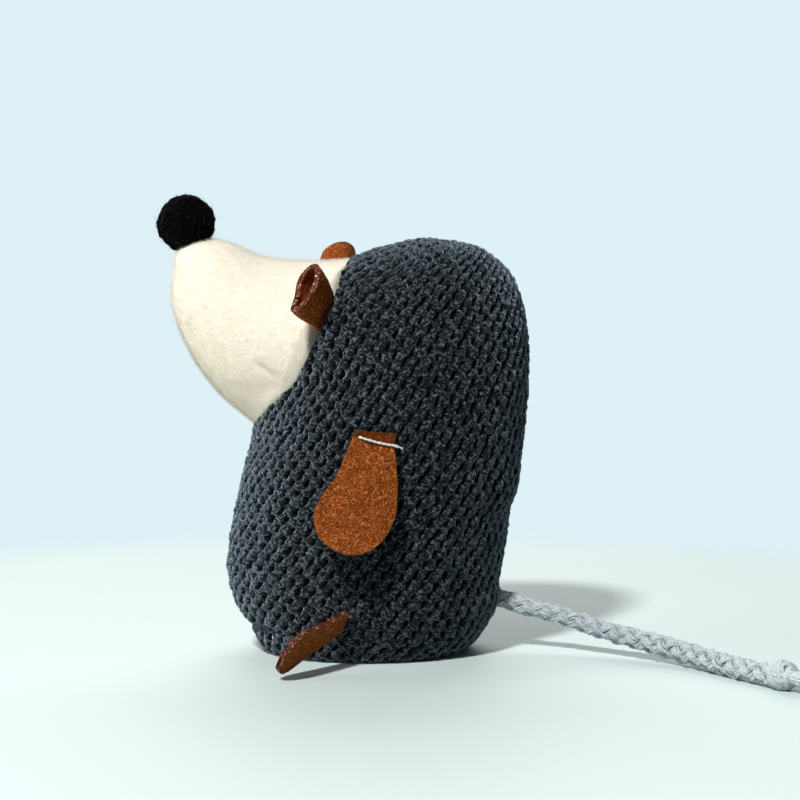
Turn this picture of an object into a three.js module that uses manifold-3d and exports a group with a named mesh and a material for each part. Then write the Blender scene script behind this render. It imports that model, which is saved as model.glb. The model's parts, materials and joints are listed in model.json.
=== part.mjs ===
// Catnip mouse: a stuffed knit toy that stands on a flat base, with a plush head, a felt-ball nose, felt ears,
// arms and feet, and a braided cotton tail. A catnip sachet lies in the stuffing, on the base.
// Millimetres, +Z up, origin at the centre of the flat base. The mouse faces -X, so its left side is -Y.
import * as THREE from "three";
import { mergeVertices } from "three/addons/utils/BufferGeometryUtils.js";
import Module from "manifold-3d";

const wasm = await Module();
wasm.setup();

// Body: a standing barrel of knit fabric.
const BODY_HEIGHT = 109;
const BODY_LENGTH = 79;
const BODY_WIDTH = 66;
const KNIT_THICKNESS = 1.8;
const BASE_SEAM_FRONT = 7.9;
const BASE_SEAM_BACK = 4.2;
const BASE_FLAT_DEPTH = 0.5;

// Head: a plush cone sewn to the sloping neck opening, between these two heights on the front of the body.
const NECK_LOW = 0.5376 * BODY_HEIGHT;
const NECK_HIGH = 0.9505 * BODY_HEIGHT;
const HEAD_LENGTH = 40;
const PLUSH_THICKNESS = 2;
const NECK_INSET = 0.8;
const NECK_BEND_RADIUS = 78;

// Nose: a felt ball pressed into the top of the snout, on a thread that is knotted inside the head.
const NOSE_DIAMETER = 15;
const NOSE_FORWARD = 1.4;
const NOSE_UP = 7.9;
const NOSE_THREAD_DIAMETER = 1.2;
const NOSE_THREAD_IN_BALL = 4;
const NOSE_THREAD_IN_HEAD = 9;
const NOSE_KNOT_DIAMETER = 3.2;

// Felt: one sheet for the ears, arms and feet.
const FELT_THICKNESS = 1.7;

// Ears: felt rounds rolled into cups, pinched at the neck seam. Angles run down the seam from its top.
const EAR_LENGTH = 12.5;
const EAR_ROOT_WIDTH = 10;
const EAR_RIM_WIDTH = 13.6;
const EAR_LEFT_RIM_DEPTH = 8.6;
const EAR_RIGHT_RIM_DEPTH = 11;
const EAR_ROLL_DEGREES = 158;
const EAR_LEFT_LEAN = 0.8;
const EAR_RIGHT_LEAN = 0.5;
const EAR_LEFT_ANGLE = 66;
const EAR_RIGHT_ANGLE = 50;

// Arms: pear-shaped paddles, each sewn on by one stitch near its narrow end.
const ARM_LENGTH = 28.2;
const ARM_ROOT_WIDTH = 9.7;
const ARM_ROUND_RADIUS = 10.4;
const ARM_HEIGHT = 0.5266 * BODY_HEIGHT;
const ARM_FORWARD = -1.9;
const ARM_TILT_DEGREES = 14;
const ARM_STAND_OFF_DEGREES = 9;
const ARM_TAB_HEIGHT = 2.4;
const STITCH_DIAMETER = 0.8;
const STITCH_OVERHANG = 0.4;

// Feet: paddles that leave the side of the body above the base, splayed forward and drooping.
const FOOT_LENGTH = 23.3;
const FOOT_ROOT_WIDTH = 7.5;
const FOOT_ROUND_RADIUS = 6.3;
const FOOT_HEIGHT = 11.4;
const FOOT_FORWARD = 5;
const FOOT_SPLAY_DEGREES = 39;
const FOOT_DROOP_DEGREES = 16.5;
const FOOT_ROLL_DEGREES = 53.5;

// Tail: a braided cord that leaves the back seam, reaches the floor and ends in a whipped knot and a tuft.
const TAIL_DIAMETER = 5.6;
const TAIL_HEIGHT = 13.4;
const TAIL_PIVOT_PROUD = 1;
const TAIL_KNOT_DIAMETER = 7.4;
const TAIL_KNOT_LENGTH = 7;
const TAIL_TUFT_DIAMETER = 7;
const TAIL_TUFT_LENGTH = 14;
const TAIL_INNER_KNOT_DIAMETER = 11;

// Catnip sachet: two round sheets, sealed at the rim, over a lens of dried herb.
const SACHET_DIAMETER = 30;
const SACHET_RIM = 3;
const SACHET_SHEET = 0.8;
const HERB_THICKNESS = 9;

// Fits and facets.
const GAP = 0.3;
const ROUND_STEPS = 28;
const LOFT_STEPS = 22;
const HEAD_STEPS = 13;
const SACHET_STEPS = 20;
const NECK_STEPS = 72;
const REACH = 400;

// Outlines of the body seen from its right side. Each row is one ring of the loft: the ring's front end and back end
// as shares of the length and height, and its half width as a share of the half width.
const BODY_RINGS = [
  { front: [-0.025, 0], back: [-0.025, 0], wide: 0 },
  { front: [-0.304, 0], back: [0.253, 0], wide: 0.55 },
  { front: [-0.385, 0.055], back: [0.367, 0.037], wide: 0.77 },
  { front: [-0.466, 0.193], back: [0.456, 0.183], wide: 0.92 },
  { front: [-0.427, 0.413], back: [0.503, 0.44], wide: 1 },
  { front: [-0.4, 0.58], back: [0.532, 0.697], wide: 1 },
  { front: [-0.35, 0.79], back: [0.494, 0.881], wide: 0.9 },
  { front: [-0.115, 0.935], back: [0.373, 0.972], wide: 0.56 },
  { front: [0.177, 1], back: [0.177, 1], wide: 0 },
];

// Outlines of the head, out from the neck: distance as a share of the head's length, height above the neck's centre
// as a share of the neck's half height, and half width as a share of the neck's half width.
const HEAD_RINGS = [
  { upper: [0, 1], lower: [0, -1], wide: 1 },
  { upper: [0.225, 0.76], lower: [0.237, -0.895], wide: 0.87 },
  { upper: [0.475, 0.57], lower: [0.5, -0.735], wide: 0.72 },
  { upper: [0.712, 0.505], lower: [0.737, -0.5], wide: 0.56 },
  { upper: [0.875, 0.4], lower: [0.9, -0.25], wide: 0.39 },
  { upper: [0.97, 0.245], lower: [0.982, -0.03], wide: 0.2 },
  { upper: [1, 0.112], lower: [1, 0.112], wide: 0 },
];

// Middle line of the tail from where it leaves the body to its knot, chosen by hand.
const TAIL_ROUTE = [
  [41, -1.5, 11.6],
  [50, -4.6, 9.7],
  [59.7, -9.3, 7],
  [68.4, -14.8, 5.3],
  [76.5, -21.5, 4.1],
  [83, -29.3, 3.2],
  [88.2, -37.8, 2.9],
  [92.8, -45.6, 2.9],
  [97.2, -52.2, 2.9],
];

const knit = new THREE.MeshStandardMaterial({ color: 0x3d444b, roughness: 0.95, metalness: 0 });
const plush = new THREE.MeshStandardMaterial({ color: 0xf3ead9, roughness: 0.95, metalness: 0 });
const blackFelt = new THREE.MeshStandardMaterial({ color: 0x121213, roughness: 1, metalness: 0 });
const brownFelt = new THREE.MeshStandardMaterial({ color: 0x8f4b1f, roughness: 0.95, metalness: 0 });
const whiteThread = new THREE.MeshStandardMaterial({ color: 0xeeeeea, roughness: 0.8, metalness: 0 });
const cotton = new THREE.MeshStandardMaterial({ color: 0xb9c0c4, roughness: 0.95, metalness: 0 });
const fibrefill = new THREE.MeshStandardMaterial({ color: 0xf4f4f2, roughness: 1, metalness: 0 });
const nonWoven = new THREE.MeshStandardMaterial({ color: 0xe8e6dd, roughness: 0.9, metalness: 0 });
const herb = new THREE.MeshStandardMaterial({ color: 0x6f7a45, roughness: 1, metalness: 0 });

const up = new THREE.Vector3(0, 0, 1);
const left = new THREE.Vector3(0, -1, 0);
const mouse = new THREE.Group();

// Solids

function solidOf(geometry) {
  const bare = geometry.clone();
  bare.deleteAttribute("normal");
  bare.deleteAttribute("uv");
  const merged = mergeVertices(bare, 1e-4);
  return new wasm.Manifold(
    new wasm.Mesh({
      numProp: 3,
      vertProperties: merged.attributes.position.array,
      triVerts: new Uint32Array(merged.index.array),
    }),
  );
}

function geometryOf(solid) {
  const mesh = solid.getMesh();
  return new THREE.BufferGeometry()
    .setAttribute("position", new THREE.BufferAttribute(mesh.vertProperties, 3))
    .setIndex(new THREE.BufferAttribute(mesh.triVerts, 1));
}

function piece(name, solid, material) {
  const mesh = new THREE.Mesh(geometryOf(solid), material);
  mesh.name = name;
  mouse.add(mesh);
  return mesh;
}

// Everything on the side of a plane that its normal points to.
function halfSpace(point, normal) {
  const box = new THREE.BoxGeometry(REACH, REACH, REACH).translate(0, 0, REACH / 2);
  box.applyQuaternion(new THREE.Quaternion().setFromUnitVectors(up, normal.clone().normalize()));
  return solidOf(box.translate(point.x, point.y, point.z));
}

// A rod from one point to another.
function rod(from, to, diameter, sides = 10) {
  const along = to.clone().sub(from);
  const made = new THREE.CylinderGeometry(diameter / 2, diameter / 2, along.length(), sides);
  made.applyQuaternion(new THREE.Quaternion().setFromUnitVectors(new THREE.Vector3(0, 1, 0), along.normalize()));
  const middle = from.clone().add(to).multiplyScalar(0.5);
  return solidOf(made.translate(middle.x, middle.y, middle.z));
}

function ball(centre, diameter, detail = 3) {
  return solidOf(new THREE.IcosahedronGeometry(diameter / 2, detail).translate(centre.x, centre.y, centre.z));
}

// A closed skin through rings of points that run the same way round, with a fan over each end.
function loft(rings) {
  const count = rings[0].length;
  const vertices = rings.flat();
  const triangles = [];
  for (let r = 0; r + 1 < rings.length; r++) {
    for (let i = 0; i < count; i++) {
      const a = r * count + i;
      const b = r * count + ((i + 1) % count);
      triangles.push(a, b, b + count, a, b + count, a + count);
    }
  }
  for (const [ring, last] of [[0, false], [rings.length - 1, true]]) {
    const middle = new THREE.Vector3();
    rings[ring].forEach((p) => middle.addScaledVector(p, 1 / count));
    const hub = vertices.push(middle) - 1;
    for (let i = 0; i < count; i++) {
      const a = ring * count + i;
      const b = ring * count + ((i + 1) % count);
      triangles.push(...(last ? [a, b, hub] : [b, a, hub]));
    }
  }
  return new THREE.BufferGeometry().setFromPoints(vertices).setIndex(triangles);
}

// The same closed skin moved out along its own normals, or in where the distance is negative.
function offset(geometry, distance) {
  const moved = mergeVertices(geometry.clone(), 1e-4);
  moved.computeVertexNormals();
  const p = moved.attributes.position;
  const n = moved.attributes.normal;
  for (let i = 0; i < p.count; i++) {
    p.setXYZ(i, p.getX(i) + n.getX(i) * distance, p.getY(i) + n.getY(i) * distance, p.getZ(i) + n.getZ(i) * distance);
  }
  return moved;
}

// Where a line from outside first meets a skin.
function meets(geometry, from, direction) {
  const target = new THREE.Mesh(geometry, new THREE.MeshBasicMaterial({ side: THREE.DoubleSide }));
  return new THREE.Raycaster(from, direction.clone().normalize()).intersectObject(target)[0].point;
}

// A smooth curve through values or points, read at a share of the way along.
function through(points) {
  return new THREE.SplineCurve(points.map(([x, y]) => new THREE.Vector2(x, y)));
}

// An oval ring between two ends in the XZ plane, as wide as asked along Y.
function ovalRing(first, second, halfWidth, steps) {
  const middle = first.clone().add(second).multiplyScalar(0.5);
  const half = second.clone().sub(first).multiplyScalar(0.5);
  return Array.from({ length: steps }, (_, i) => {
    const turn = (i / steps) * 2 * Math.PI;
    return new THREE.Vector3(
      middle.x + half.x * Math.cos(turn),
      halfWidth * Math.sin(turn),
      middle.z + half.z * Math.cos(turn),
    );
  });
}

// Body form

const bodyFront = through(BODY_RINGS.map((r) => [r.front[0] * BODY_LENGTH, r.front[1] * BODY_HEIGHT]));
const bodyBack = through(BODY_RINGS.map((r) => [r.back[0] * BODY_LENGTH, r.back[1] * BODY_HEIGHT]));
const bodyWide = through(BODY_RINGS.map((r, i) => [i, (r.wide * BODY_WIDTH) / 2]));

function bodyRing(share) {
  const front = bodyFront.getPoint(share);
  const back = bodyBack.getPoint(share);
  const drop = BASE_FLAT_DEPTH;
  return ovalRing(
    new THREE.Vector3(front.x, 0, front.y - drop),
    new THREE.Vector3(back.x, 0, back.y - drop),
    Math.max(bodyWide.getPoint(share).y, 0.01),
    ROUND_STEPS,
  );
}

const firstShare = 0.02;
const bodyShares = Array.from({ length: LOFT_STEPS }, (_, i) => {
  return firstShare + ((1 - 2 * firstShare) * i) / (LOFT_STEPS - 1);
});
const bodySkin = loft(bodyShares.map(bodyRing));
const aboveFloor = halfSpace(new THREE.Vector3(0, 0, 0), up);
const bodySolid = solidOf(bodySkin).intersect(aboveFloor);
const bodyInside = solidOf(offset(bodySkin, -KNIT_THICKNESS));
const bodyHollow = bodyInside.intersect(halfSpace(new THREE.Vector3(0, 0, KNIT_THICKNESS), up));
const bodyAround = solidOf(offset(bodySkin, GAP));

// Neck plane, across the front of the body

function frontAt(height) {
  let low = 0.1;
  let high = 0.99;
  for (let i = 0; i < 40; i++) {
    const middle = (low + high) / 2;
    if (bodyFront.getPoint(middle).y - BASE_FLAT_DEPTH < height) low = middle;
    else high = middle;
  }
  return new THREE.Vector3(bodyFront.getPoint(low).x, 0, height);
}

const neckLow = frontAt(NECK_LOW);
const neckHigh = frontAt(NECK_HIGH);
const neckCentre = neckLow.clone().add(neckHigh).multiplyScalar(0.5);
const neckUp = neckHigh.clone().sub(neckLow).normalize();
const neckOut = new THREE.Vector3().crossVectors(left, neckUp).normalize();
const neckHalfHeight = neckHigh.distanceTo(neckLow) / 2 - NECK_INSET;
const neckSide = meets(bodySkin, neckCentre.clone().addScaledVector(left, REACH), left.clone().negate());
const neckHalfWidth = Math.abs(neckSide.y) - NECK_INSET;

// The seam bends back at the sides, so the opening follows a wide cylinder that runs up the neck.
function behindNeck(clearance) {
  const middle = neckCentre.clone().addScaledVector(neckOut, -NECK_BEND_RADIUS);
  const ends = [-1, 1].map((way) => middle.clone().addScaledVector(neckUp, (way * REACH) / 2));
  return rod(ends[0], ends[1], 2 * (NECK_BEND_RADIUS + clearance), NECK_STEPS);
}

const bodyCut = behindNeck(0);
const headCut = behindNeck(GAP);
const bodyNear = bodyAround.intersect(headCut);

// A point of the head, given out from the neck and up from its centre.
function headPoint(out, height) {
  return neckCentre.clone().addScaledVector(neckOut, out).addScaledVector(neckUp, height);
}

// Head form

const headUpper = through(HEAD_RINGS.map((r) => [r.upper[0] * HEAD_LENGTH, r.upper[1] * neckHalfHeight]));
const headLower = through(HEAD_RINGS.map((r) => [r.lower[0] * HEAD_LENGTH, r.lower[1] * neckHalfHeight]));
const headWide = through(HEAD_RINGS.map((r, i) => [i, r.wide * neckHalfWidth]));

function headRing(share) {
  const upper = headUpper.getPoint(share);
  const lower = headLower.getPoint(share);
  return ovalRing(
    headPoint(lower.x + GAP, lower.y),
    headPoint(upper.x + GAP, upper.y),
    Math.max(headWide.getPoint(share).y, 0.01),
    ROUND_STEPS,
  );
}

const headShares = Array.from({ length: HEAD_STEPS }, (_, i) => (0.99 * i) / (HEAD_STEPS - 1));
const headRings = headShares.map(headRing);
const skirtDepth = 4 * PLUSH_THICKNESS;
const headSkirt = headRings[0].map((p) => p.clone().addScaledVector(neckOut, -skirtDepth));
const headLong = loft([headSkirt, ...headRings]);
const headSolid = solidOf(headLong).subtract(headCut);
const headInside = solidOf(offset(headLong, -PLUSH_THICKNESS));
const headAround = solidOf(offset(headLong, GAP));

// Nose ball, its thread and the thread's knot

const tip = HEAD_RINGS.at(-1).upper;
const noseCentre = headPoint(tip[0] * HEAD_LENGTH + NOSE_FORWARD, tip[1] * neckHalfHeight + NOSE_UP);
const noseInward = headPoint(HEAD_LENGTH / 2, 0).sub(noseCentre).normalize();
const threadStart = noseCentre.clone().addScaledVector(noseInward, NOSE_DIAMETER / 2 - NOSE_THREAD_IN_BALL);
const threadEnd = noseCentre.clone().addScaledVector(noseInward, NOSE_DIAMETER / 2 + NOSE_THREAD_IN_HEAD);
const noseKnot = ball(threadEnd, NOSE_KNOT_DIAMETER, 2);
const noseThread = rod(threadStart, threadEnd, NOSE_THREAD_DIAMETER).add(noseKnot);
const threadHole = rod(
  threadStart.clone().addScaledVector(noseInward, -GAP),
  threadEnd,
  NOSE_THREAD_DIAMETER + 2 * GAP,
).add(ball(threadEnd, NOSE_KNOT_DIAMETER + 2 * GAP, 2));

// Tail pivot and inner knot

const back = new THREE.Vector3(1, 0, 0);
const tailSeat = meets(bodySkin, new THREE.Vector3(REACH, 0, TAIL_HEIGHT), back.clone().negate());
const tailPivot = tailSeat.clone().addScaledVector(back, TAIL_PIVOT_PROUD);
const tailPocket = ball(tailPivot, TAIL_DIAMETER + 2 * GAP);
const innerKnotCentre = tailSeat.clone().addScaledVector(
  back,
  -(KNIT_THICKNESS + 2 * GAP + TAIL_INNER_KNOT_DIAMETER / 2),
);
const innerKnotSpace = ball(innerKnotCentre, TAIL_INNER_KNOT_DIAMETER + 2 * GAP, 2);

// Catnip sachet on the inside of the base

const sachetFloor = KNIT_THICKNESS + GAP;
const domeRadius = SACHET_DIAMETER / 2 - SACHET_RIM;
const sachetMiddle = sachetFloor + SACHET_SHEET + HERB_THICKNESS / 2;

// A lens-shaped dome from its rim radius to the axis, as profile points of a revolve.
function dome(radius, rise, steps = 5) {
  return Array.from({ length: steps + 1 }, (_, i) => {
    const turn = (i / steps) * (Math.PI / 2);
    return new THREE.Vector2(radius * Math.cos(turn), rise * Math.sin(turn));
  });
}

function revolved(profile) {
  const made = new THREE.LatheGeometry(profile, SACHET_STEPS).rotateX(Math.PI / 2);
  return solidOf(made.translate(0, 0, sachetMiddle));
}

// One sheet of the sachet: a dome with a flat rim, open underneath.
function sachetSheet() {
  const outer = dome(domeRadius + SACHET_SHEET, HERB_THICKNESS / 2 + SACHET_SHEET);
  const inner = dome(domeRadius, HERB_THICKNESS / 2).reverse();
  const low = GAP / 2;
  const rim = [
    new THREE.Vector2(domeRadius, low),
    new THREE.Vector2(SACHET_DIAMETER / 2, low),
    new THREE.Vector2(SACHET_DIAMETER / 2, low + SACHET_SHEET),
    new THREE.Vector2(domeRadius + SACHET_SHEET, low + SACHET_SHEET),
  ];
  const crown = outer.filter((p) => p.y > low + SACHET_SHEET);
  const hollow = inner.filter((p) => p.y > low);
  return [...rim, ...crown, ...hollow, new THREE.Vector2(domeRadius, low)];
}

const turnedOver = new THREE.Matrix4().makeRotationX(Math.PI);
const sheetGeometry = new THREE.LatheGeometry(sachetSheet(), SACHET_STEPS).rotateX(Math.PI / 2);
const topSheet = solidOf(sheetGeometry.clone().translate(0, 0, sachetMiddle));
const bottomSheet = solidOf(sheetGeometry.clone().applyMatrix4(turnedOver).translate(0, 0, sachetMiddle));
const herbDome = dome(domeRadius - GAP, HERB_THICKNESS / 2 - GAP);
const herbBottom = herbDome.slice(1).map((p) => new THREE.Vector2(p.x, -p.y)).reverse();
const herbLens = revolved([...herbBottom, ...herbDome]);
const pocketTop = sachetMiddle + HERB_THICKNESS / 2 + SACHET_SHEET + GAP;
const sachetPocket = rod(
  new THREE.Vector3(0, 0, 0),
  new THREE.Vector3(0, 0, pocketTop),
  SACHET_DIAMETER + 4 * GAP,
  SACHET_STEPS,
);

// Fabric panels and stuffing

const seamFront = new THREE.Vector3(-BODY_LENGTH / 2, 0, BASE_SEAM_FRONT);
const seamBack = new THREE.Vector3(BODY_LENGTH / 2, 0, BASE_SEAM_BACK);
const seamUp = new THREE.Vector3().crossVectors(seamBack.clone().sub(seamFront), new THREE.Vector3(0, 1, 0));
const seamMiddle = seamFront.clone().add(seamBack).multiplyScalar(0.5);
const aboveSeam = halfSpace(seamMiddle.clone().addScaledVector(up, GAP / 2), seamUp);
const belowSeam = halfSpace(seamMiddle.clone().addScaledVector(up, -GAP / 2), seamUp.clone().negate());
const sides = {
  left: halfSpace(new THREE.Vector3(0, -GAP / 2, 0), left),
  right: halfSpace(new THREE.Vector3(0, GAP / 2, 0), left.clone().negate()),
};

const knitShell = bodySolid.subtract(bodyHollow).intersect(bodyCut).subtract(tailPocket);
const plushShell = headSolid.subtract(headInside).subtract(threadHole);
for (const [side, half] of Object.entries(sides)) {
  piece(`body_${side}_panel`, knitShell.intersect(aboveSeam).intersect(half), knit);
  piece(`head_${side}_panel`, plushShell.intersect(half), plush);
}
piece("base_panel", knitShell.intersect(belowSeam), knit);

const bodyFilling = solidOf(offset(bodySkin, -KNIT_THICKNESS - GAP))
  .intersect(halfSpace(new THREE.Vector3(0, 0, KNIT_THICKNESS + GAP), up))
  .intersect(bodyCut)
  .subtract(tailPocket)
  .subtract(innerKnotSpace)
  .subtract(sachetPocket);
const headFilling = solidOf(offset(headLong, -PLUSH_THICKNESS - GAP)).subtract(headCut).subtract(threadHole);
piece("body_stuffing", bodyFilling, fibrefill);
piece("head_stuffing", headFilling, fibrefill);
piece("sachet_top_sheet", topSheet, nonWoven);
piece("sachet_bottom_sheet", bottomSheet, nonWoven);
piece("catnip_filling", herbLens, herb);

piece("nose_ball", ball(noseCentre, NOSE_DIAMETER).subtract(headAround).subtract(threadHole), blackFelt);
piece("nose_thread", noseThread, whiteThread);

// Felt paddles: a pear outline from a straight root at y = 0 to a round end, with a rolled root edge to hinge on.

function paddle(length, rootWidth, radius, place) {
  const centre = length - radius;
  const meet = Math.PI / 12;
  const shape = new THREE.Shape();
  shape.moveTo(-rootWidth / 2, 0);
  shape.lineTo(rootWidth / 2, 0);
  shape.quadraticCurveTo(
    radius * 0.75,
    centre * 0.55,
    radius * Math.cos(meet),
    centre - radius * Math.sin(meet),
  );
  shape.absarc(0, centre, radius, -meet, Math.PI + meet, false);
  shape.quadraticCurveTo(-radius * 0.75, centre * 0.55, -rootWidth / 2, 0);
  const sheet = new THREE.ExtrudeGeometry(shape, { depth: FELT_THICKNESS, bevelEnabled: false, curveSegments: 10 });
  sheet.translate(0, 0, -FELT_THICKNESS / 2);
  const roll = new THREE.CylinderGeometry(FELT_THICKNESS / 2, FELT_THICKNESS / 2, rootWidth, 12);
  roll.rotateZ(Math.PI / 2);
  return solidOf(sheet.applyMatrix4(place)).add(solidOf(roll.applyMatrix4(place)));
}

// A frame with its x, y and z along the given directions, at a point.
function frameOf(x, y, z, point) {
  return new THREE.Matrix4().makeBasis(x, y, z).setPosition(point);
}

// The turning line of a flap, kept with the mesh for whoever rigs it.
function hinge(mesh, point, axis) {
  mesh.userData.hinge = { point: point.toArray(), axis: axis.clone().normalize().toArray() };
}

for (const [side, hand] of [["left", -1], ["right", 1]]) {
  const outward = new THREE.Vector3(0, hand, 0);

  // Arm: hangs from its stitch line, a little off the body.
  const armSeat = meets(
    bodySkin,
    new THREE.Vector3(-ARM_FORWARD, hand * REACH, ARM_HEIGHT),
    outward.clone().negate(),
  );
  const tilt = THREE.MathUtils.degToRad(ARM_TILT_DEGREES);
  const standOff = THREE.MathUtils.degToRad(ARM_STAND_OFF_DEGREES);
  const across = new THREE.Vector3(Math.cos(tilt), 0, -Math.sin(tilt));
  const flat = new THREE.Vector3(-Math.sin(tilt), 0, -Math.cos(tilt));
  const down = flat.clone().multiplyScalar(Math.cos(standOff)).addScaledVector(outward, Math.sin(standOff));
  const face = new THREE.Vector3().crossVectors(across, down);
  const armRoot = armSeat.clone().addScaledVector(outward, FELT_THICKNESS / 2 + GAP);
  const arm = paddle(ARM_LENGTH, ARM_ROOT_WIDTH, ARM_ROUND_RADIUS, frameOf(across, down, face, armRoot));
  const armSwing = across.clone().multiplyScalar(hand);
  hinge(piece(`arm_${side}`, arm.subtract(bodyAround), brownFelt), armRoot, armSwing);

  // The strip of the same felt above the stitch, held flat on the body.
  const tabStart = FELT_THICKNESS / 2 + GAP;
  const tab = new THREE.BoxGeometry(ARM_ROOT_WIDTH, ARM_TAB_HEIGHT, FELT_THICKNESS);
  tab.translate(0, -tabStart - ARM_TAB_HEIGHT / 2, 0);
  tab.applyMatrix4(frameOf(across, flat, new THREE.Vector3().crossVectors(across, flat), armRoot));
  piece(`arm_${side}_tab`, solidOf(tab).subtract(bodyAround), brownFelt);

  // The stitch over the tab, with its ends turned down beside the felt.
  const stitchUp = tabStart + STITCH_DIAMETER / 2 + GAP;
  const stitchMiddle = armRoot.clone().addScaledVector(flat, -stitchUp);
  const stitchHalf = ARM_ROOT_WIDTH / 2 + GAP + STITCH_DIAMETER / 2 + STITCH_OVERHANG;
  const stitchProud = FELT_THICKNESS / 2 + GAP + STITCH_DIAMETER / 2;
  const legEnd = -FELT_THICKNESS / 2;
  const ends = [-1, 1].map((way) => stitchMiddle.clone().addScaledVector(across, way * stitchHalf));
  const tops = ends.map((p) => p.clone().addScaledVector(outward, stitchProud));
  const feet = ends.map((p) => p.clone().addScaledVector(outward, legEnd));
  const stitch = rod(tops[0], tops[1], STITCH_DIAMETER)
    .add(rod(feet[0], tops[0], STITCH_DIAMETER))
    .add(rod(feet[1], tops[1], STITCH_DIAMETER))
    .add(ball(tops[0], STITCH_DIAMETER, 1))
    .add(ball(tops[1], STITCH_DIAMETER, 1));
  piece(`arm_${side}_stitch`, stitch.subtract(bodyAround), whiteThread);

  // Foot: leaves the side of the body, splayed forward and drooping, its outer edge rolled up.
  const footSeat = meets(
    bodySkin,
    new THREE.Vector3(-FOOT_FORWARD, hand * REACH, FOOT_HEIGHT),
    outward.clone().negate(),
  );
  const splay = THREE.MathUtils.degToRad(FOOT_SPLAY_DEGREES);
  const droop = THREE.MathUtils.degToRad(FOOT_DROOP_DEGREES);
  const footOut = new THREE.Vector3(-Math.sin(splay), hand * Math.cos(splay), 0);
  const footAlong = footOut.clone().multiplyScalar(Math.cos(droop)).addScaledVector(up, -Math.sin(droop));
  const level = new THREE.Vector3().crossVectors(up, footOut).normalize();
  const roll = THREE.MathUtils.degToRad(FOOT_ROLL_DEGREES) * -hand;
  const footAcross = level.applyAxisAngle(footAlong, roll);
  const footFace = new THREE.Vector3().crossVectors(footAcross, footAlong);
  const footRoot = footSeat.clone().addScaledVector(footOut, FELT_THICKNESS / 2 + GAP + FOOT_ROOT_WIDTH / 5);
  const foot = paddle(FOOT_LENGTH, FOOT_ROOT_WIDTH, FOOT_ROUND_RADIUS, frameOf(footAcross, footAlong, footFace, footRoot));
  hinge(piece(`foot_${side}`, foot.subtract(bodyAround), brownFelt), footRoot, footAcross);

  // Ear: a felt sheet rolled round its own length, open towards the face and pinched at the seam.
  const [degrees, lean, rimDepth] = side === "left"
    ? [EAR_LEFT_ANGLE, EAR_LEFT_LEAN, EAR_LEFT_RIM_DEPTH]
    : [EAR_RIGHT_ANGLE, EAR_RIGHT_LEAN, EAR_RIGHT_RIM_DEPTH];
  const angle = THREE.MathUtils.degToRad(degrees);
  const ringUp = neckHalfHeight * Math.cos(angle);
  const ringOut = neckHalfWidth * Math.sin(angle);
  const sag = ringOut ** 2 / (2 * NECK_BEND_RADIUS);
  const rootRadius = FELT_THICKNESS;
  const earRadial = neckUp.clone().multiplyScalar(Math.cos(angle) / neckHalfHeight)
    .addScaledVector(outward, Math.sin(angle) / neckHalfWidth).normalize();
  const earAcross = outward.clone().multiplyScalar(neckHalfWidth * Math.cos(angle))
    .addScaledVector(neckUp, -neckHalfHeight * Math.sin(angle))
    .addScaledVector(neckOut, (-ringOut * neckHalfWidth * Math.cos(angle)) / NECK_BEND_RADIUS)
    .normalize().multiplyScalar(hand);
  const earAlong = earRadial.clone().addScaledVector(neckOut, lean);
  earAlong.addScaledVector(earAcross, -earAlong.dot(earAcross)).normalize();
  const earBack = new THREE.Vector3().crossVectors(earAcross, earAlong).normalize();
  const beforeSeam = headPoint(rootRadius + 2 * GAP - sag, ringUp).addScaledVector(outward, ringOut);
  const earSeat = meets(headLong, beforeSeam.addScaledVector(earRadial, REACH), earRadial.clone().negate());
  const earRoot = earSeat.addScaledVector(earRadial, rootRadius + GAP);
  const cup = earCup(earRoot, earAlong, earAcross, earBack, rootRadius, rimDepth);
  hinge(piece(`ear_${side}`, solidOf(cup).subtract(bodyNear).subtract(headAround), brownFelt), earRoot, earAcross);
}

// A rolled sheet with felt's thickness: C-shaped rings from the rounded root edge, where the sheet's two layers lie
// together, up to the wide rim.
function earCup(root, along, across, behind, rootRadius, rimDepth) {
  const rows = 6;
  const columns = 14;
  const rollTo = THREE.MathUtils.degToRad(EAR_ROLL_DEGREES);
  const levels = [-60, -30].map(THREE.MathUtils.degToRad).map((t) => ({
    share: 0,
    below: rootRadius * Math.sin(t),
    deep: rootRadius * Math.cos(t),
    wide: EAR_ROOT_WIDTH / 2,
  }));
  for (let r = 0; r < rows; r++) {
    const share = r / (rows - 1);
    const open = Math.sin((share * Math.PI) / 2);
    levels.push({
      share,
      below: 0,
      deep: THREE.MathUtils.lerp(rootRadius, rimDepth / 2, open),
      wide: THREE.MathUtils.lerp(EAR_ROOT_WIDTH / 2, EAR_RIM_WIDTH / 2, open),
    });
  }
  const rings = levels.map(({ share, below, deep, wide }) => {
    const outer = [];
    const inner = [];
    for (let c = 0; c <= columns; c++) {
      const turn = rollTo * ((2 * c) / columns - 1);
      const rise = below + EAR_LENGTH * share * (1 - 0.22 * Math.sin(turn / 2) ** 2);
      for (const [list, shrink] of [[outer, 0], [inner, FELT_THICKNESS]]) {
        list.push(
          root.clone()
            .addScaledVector(along, rise)
            .addScaledVector(across, (wide - shrink) * Math.sin(turn))
            .addScaledVector(behind, Math.max(deep - shrink, GAP / 2) * Math.cos(turn)),
        );
      }
    }
    return [...outer, ...inner.reverse()];
  });
  return loft(rings);
}

// Tail: cord, whipped knot and tuft on one line, and the stopper knot inside the body

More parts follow.
